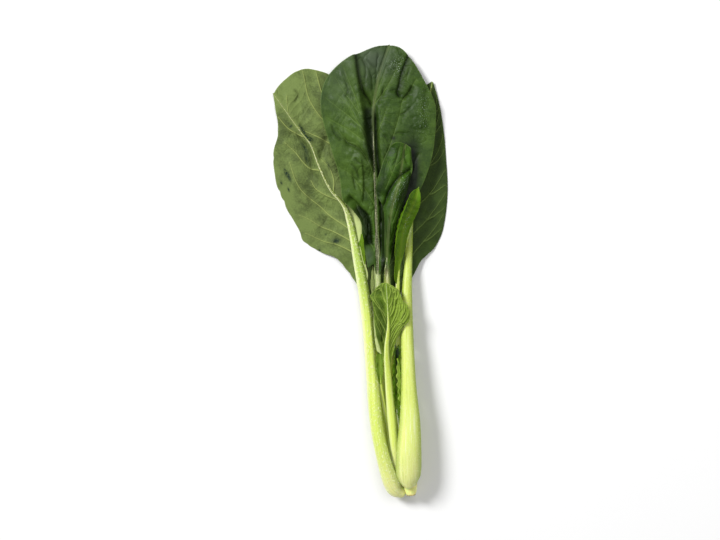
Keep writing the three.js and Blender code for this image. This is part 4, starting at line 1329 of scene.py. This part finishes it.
# a thin dull one left of the broad leaf's stalk
thinLobe = {
    **lobeBasis, "node": "thin_lobe", "seed": 113,
    "route": [
        (-18.6, 112, 5.2, 0, 1, 1), (-19.2, 122, 5, 0, 1, 1), (-19.4, 132, 4.6, 0, 1, 1),
        (-19.2, 140, 4, 0, 1, 1)],
    "left": [(0, 0.6), (10, 1.1), (20, 1), (28, 0.3)],
    "right": [(0, 0.6), (10, 1.1), (20, 1), (28, 0.3)],
    "rise": [(-20, -20)] * 5,
}
# a bright curled margin beside the wide stalk
rimLobe = {
    **lobeBasis, "node": "rim_lobe", "seed": 127, "ruffle": 0.9, "ruffleSize": 2.4, "scallop": (2.4, 0),
    "route": [
        (-2, 56, 14, 0, 1, 1), (-2.5, 65, 14.4, 0, 1, 1), (-3, 74, 14.2, 0, 1, 1),
        (-3.8, 83, 13.2, 0, 1, 1)],
    "left": [
        (0, 0.3), (2, 1.6), (4, 0.7), (6.4, 2), (8.6, 0.8), (11, 2.2), (13.2, 0.9), (15.8, 2.2),
        (18.2, 1), (21, 1.6), (24, 0.6), (27, 0.3)],
    "right": [(0, 0.3), (4, 1), (12, 0.8), (20, 0.8), (27, 0.3)],
    "rise": [(22, 0)] * 5, "curl": [(16, 0)] * 5,
    "tints": [(13, 0, 30, 6, 1.2)],
    "pales": [(13, -2, 30, 1.2, 0.5)],
}
# the two lobes deep between the stalks take the darker copy of the underside: painted shade
for lobe, skin in ((shadeLobe, "shadeBack"), (gapLobe, "shadeBack"), (thinLobe, "oliveBack"),
                   (flapLobe, "brightSkin"), (rimLobe, "youngBack")):
    makeBlade(lobe, ("greenFace", skin))
makeBlade(stalkLobe, ("greenFace", "oliveBack"))
makeStalk(heartRight, "heartSkin")
makeBlade(heartRight, ("brightSkin", "brightSkin"))

# the smaller dark leaf folded over the broad one
foldedInner = {
    **leafBasis, "node": "folded_inner", "drapes": True, "seed": 41, "pitch": 0.34, "start": 124,
    "wrap": 0.6, "sink": 0, "calm": (-1, 0), "crumple": 0.35, "gully": 0, "wave": 0.3, "ruffle": 0.3,
    "ruffleSize": 5,
    "route": [
        (-0.2, 15, 10, 0, 5, 3.4), (-3.8, 44, 9.4, 0, 5, 3.6), (-7.8, 76, 8.4, 0, 4.4, 3.4),
        (-9.2, 110, 8.2, 0, 3.6, 3.2), (-10.4, 138, 9.8, 0, 2.6, 2.4), (-9.8, 160, 11.2, -6, 1.9, 1.9),
        (-7.4, 178, 12, -10, 1.6, 1.6), (-2.6, 196, 12.4, -14, 1.3, 1.3), (0.4, 215, 12, -16, 0.9, 0.9)],
    "left": [
        (0, 1.2), (5.7, 1.2), (13.6, 1.9), (26.8, 2.6), (34, 3.8), (38.3, 5.6), (42.3, 8.8), (47, 11.8),
        (54, 12.8), (64, 11.8), (71.7, 9.9), (76.8, 8.1), (79, 5.6), (79, 0.4)],
    "right": [
        (0, 1.2), (4.3, 1.8), (10.4, 3), (20.8, 5.2), (31.4, 6.9), (46.3, 7.7), (56.2, 7.5), (65, 7.4),
        (72, 5.6), (76.6, 4.4), (78, 2.4), (79, 0.4)],
    "veinLook": {"count": (0, 0), "width": 0.3, "rung": 4.5, "puff": 0.35, "puffWidth": 2.4,
                 "ridge": 0.12},
    "veins": [
        [(50, -6.6), (56.5, -5.8), (60.4, -5.2), (68.3, -3.7), (77, -3.1)],
        [(60, -6.2), (64, -8), (67, -9.6)], [(64, -4), (68, -1), (72, 2)], [(30, 2), (40, 4), (50, 6.5)],
        [(16, -0.6), (26, -2)]],
    "folds": [
        fold([(2, 0.4), (20, 0.6), (34, 1.1), (45, 0.9), (55, 1.8), (63, 5)], (3.6, 4.2), height=2.6,
             fade=(0.25, 0.1)),
        fold([(35.5, -4.5), (41, -4.2), (47, -3.7), (52, -2.6), (56.5, -0.8), (60, 1.8), (64.5, 6.8)],
             (1.6, 0.9), height=-2.4, dark=0.9, power=1.4, fade=(0.2, 0.02)),
        fold([(54, -6.2), (60.4, -5.2), (68.3, -3.7), (79, -3)], (3.6, 3.4), height=1.2, fade=(0.3, 0)),
        fold([(40, -7.5), (47, -11.8), (54, -12.9), (64, -11.8), (73.6, -9.4), (79, -8)], (3, 3.4),
             height=-2.4, dark=0.35, fade=(0.1, 0.1)),
        fold([(8, 2.8), (20.8, 5.2), (31.4, 7), (46.3, 7.7), (56.2, 7.5), (64, 7.6)], (1.7, 3), height=-3,
             dark=0.9, fade=(0.1, 0.1)),
        fold([(4, -1), (13.6, -1.8), (26.8, -2.8), (35.8, -4.8), (40, -6.2)], (1.2, 1.2), height=-1.6,
             dark=0.7, fade=(0.05, 0.1)),
        fold([(60, 7), (70, 6), (77, 4.4)], (0.9, 1), height=-0.8, dark=0.4)],
    "creases": [
        [(76.8, -3.9), (69.3, -4), (63, -6.4)], [(76, 0), (70, 1.4), (66, 4)],
        [(34, -1), (28, 1), (20, 1.6)], [(70, -8), (62, -9.4), (54, -9)], [(30, 3), (24, 3), (16, 1.2)]],
    "wet": [(56, 2.2, 6, 2.6, 1), (45, 1, 6, 2.2, 1)],
    "tints": [(68, -6, 14, 6, -0.3), (70, 3, 8, 4, 0.7), (26, 2.4, 18, 3, 0.2)],
    "deeps": [
        (48, -10, 16, 3.2, 0.8), (50, 4.6, 9, 2.6, 0.7), (42, 0, 5, 3, 0.35), (25, -2.8, 15, 2.2, 0.6),
        (20, 1, 12, 3, 0.4)],
    "stalk": {
        **stalkBasis,
        "thin": [(0, 1), (100, 1.2), (118, 1.5), (124, 1.2), (129, 0.5), (134, 0.03), (300, 0.02)]},
}
makeStalk(foldedInner, "brownSkin")
makeBlade(foldedInner, ("deepFace", "shadeBack"))

# the bright leaf rolled lengthwise
rolledInner = {
    **leafBasis, "node": "rolled_inner", "seed": 53, "pitch": 0.3, "start": 116, "wrap": 0.8, "sink": 0.2,
    "gully": 0, "wave": 0.1, "ruffle": 0.15, "ruffleSize": 3, "creaseLook": (-0.35, 0.35),
    "route": [
        (6.8, 14, 10.4, 50, 6.4, 3.8), (6.8, 24, 10.2, 46, 7, 4.1), (2.4, 46, 8.8, 12, 6.2, 4.2),
        (-2.2, 76, 7.8, 0, 5, 3.8), (-3.4, 106, 8.2, 0, 3.8, 3.2), (-3.6, 132, 9.2, 0, 2.6, 2.4),
        (-2.2, 148, 9.8, 0, 2, 1.9), (-0.8, 160, 10.2, 0, 1.8, 1.7), (1.6, 169, 10.8, 0, 1.5, 1.5),
        (6.2, 179.5, 11.6, 0, 1.2, 1.2), (9.4, 189.4, 11.6, 0, 1, 1)],
    "left": [
        (0, 1), (3, 3), (8, 3.5), (12, 3.6), (16, 4.6), (20, 7.2), (27, 9.8), (38, 11.6), (50, 9.8),
        (58, 4.6), (61, 0.4)],
    "right": [
        (0, 0.5), (11, 0.9), (15, 1.6), (20, 2.4), (27, 3.2), (38, 4.4), (50, 4.6), (58, 2.4), (61, 0.4)],
    "rise": [(24, -4), (26, -6), (26, -8), (24, -8), (20, -6)],
    "curl": [(8, -3), (9, -4), (8, -4), (8, -4), (9, -3)],
    "veinLook": {"count": (13, 11), "sweep": 0.1, "reach": 0.98, "fork": 0.03, "width": 0.24, "rung": 4,
                 "puff": 0.3, "puffWidth": 1.2, "ridge": 0.08},
    "creases": [
        [(34, -9), (37, -4), (37.5, 0), (36, 3)], [(38, -10), (41, -5), (41.5, 0), (40, 3.6)],
        [(42, -10), (45, -5), (45.5, 0), (44, 4)], [(46, -9), (49, -4), (49.5, 0), (48, 4)],
        [(50, -8), (53, -4), (53.5, 0), (52, 3)], [(29, -9), (32, -4), (32.5, 0)]],
    "wet": [(40, 0.6, 8, 1.6, 0.9)],
    "tints": [(34, 1.4, 40, 3.4, 1.4)],
    "pales": [(34, 0.8, 30, 2, 0.1)],
    "stalk": {**stalkBasis, "thin": [(0, 1), (128, 0.9), (140, 0.4), (300, 0.3)]},
}
makeStalk(rolledInner, "greenSkin")
makeBlade(rolledInner, ("brightSkin", "brightSkin"))

# the small leaf at the front, its underside up
youngFront = {
    **leafBasis, "node": "young_front", "underside": True, "drapes": True, "seed": 67, "pitch": 0.3,
    "start": 64, "wrap": 0.6, "sink": -0.2, "crumple": 0.35, "gully": 0.3, "wave": 0.3, "ruffle": 0.5,
    "ruffleSize": 5, "creaseLook": (-0.5, 0.2),
    "route": [
        (-4.2, 15, 13.2, 0, 5.6, 3.2), (-7.2, 42, 12.8, 0, 5.4, 3.4), (-9.5, 70, 13.2, 0, 4.6, 3.2),
        (-10.6, 88, 14.8, 0, 3.2, 2.6), (-9.6, 103, 16.8, 0, 2, 1.9), (-10.2, 117, 17.6, 0, 1.4, 1.4),
        (-11, 129.6, 16.4, 0, 0.9, 0.9)],
    "left": [
        (0, 1.8), (9, 4.4), (14, 7.2), (20, 9.6), (27, 11), (34, 11.4), (39.5, 11.2), (41.5, 11.9),
        (44.2, 12.2), (46.4, 9.8), (49, 6.8), (51.5, 3), (51.3, 0.4)],
    "right": [
        (0, 1.8), (8.5, 4.3), (13.5, 5.2), (17.5, 6.3), (24.8, 9.9), (27.5, 12.9), (33.5, 13.7),
        (38.5, 11.5), (39.5, 9.9), (46, 7.9), (49.4, 4.1), (51.3, 0.4)],
    "rise": [(-12, -4), (-18, -2), (-22, 0), (-20, -2), (-14, -4)],
    "curl": [(-1, 0), (-1.5, 0), (-1.5, -0.3), (-1.5, -0.6), (-1.2, -0.8)],
    "veinLook": {"count": (3, 7), "sweep": 0.5, "reach": 0.94, "fork": 0.16, "width": 0.26, "rung": 3,
                 "puff": 0.7, "puffWidth": 1.4, "ridge": 0.26},
    "veins": [
        [(28, -0.5), (33, -3.6), (37, -7.4), (43, -10.4)], [(19, -0.5), (25, -5), (30, -8.4), (36, -10)],
        [(31, 0.5), (37, 2.4), (46, 3.4)], [(24, 0.8), (31, 4.4), (40, 7.4)],
        [(16, 1), (24, 5), (32, 9.4), (36, 11)], [(8, 1.4), (16, 4.4), (24, 8.6)],
        [(38, -0.5), (44, -2.4), (49, -4)]],
    "folds": [
        fold([(10, -3), (24, -5), (38, -5), (44, -5)], (5, 3.6), height=-1, dark=0.45, fade=(0.1, 0.3)),
        fold([(14, -0.6), (24, -1), (32, -0.9)], (2, 0.6), height=-0.8, dark=0.6),
        fold([(26, 8), (34, 10)], (4, 3), height=0.8),
        fold([(36, 6), (45, 5)], (2.4, 2.4), height=-0.7)],
    "creases": [
        [(14, 2), (20, 6), (26, 10.5)], [(18, 2), (26, 6), (33, 11.5)], [(23, 2), (31, 6), (37, 10.5)],
        [(27, 2), (36, 5), (43, 7.5)], [(33, 2), (40, 3.4), (47, 4.4)], [(24, 8), (28, 11), (31, 13)],
        [(28, 8), (32, 10.5), (35, 12.8)], [(10, 1.6), (16, 3.6), (21, 6.6)],
        [(22, -2), (28, -5), (34, -8)], [(26, -1.6), (34, -3.6), (41, -6)],
        [(34, -1), (41, -2.6), (47, -4.4)], [(36, 4), (40, 7), (41, 9)]],
    "tints": [(32, -7, 16, 6, -0.9), (28, 9, 14, 7, 1)],
    "deeps": [(12, -5, 10, 4, 0.5), (24, -6, 7, 3, 0.3), (47, -6, 4, 5, 0.25)],
    "stalk": {
        **stalkBasis, "sides": 40, "ribs": 15, "ribHeight": 0.05,
        "thin": [(0, 1), (84, 1), (94, 0.7), (104, 0.4), (300, 0.3)]},
}
makeBlade(youngFront, ("brightSkin", "youngBack"))
makeStalk(youngFront, "youngSkin")
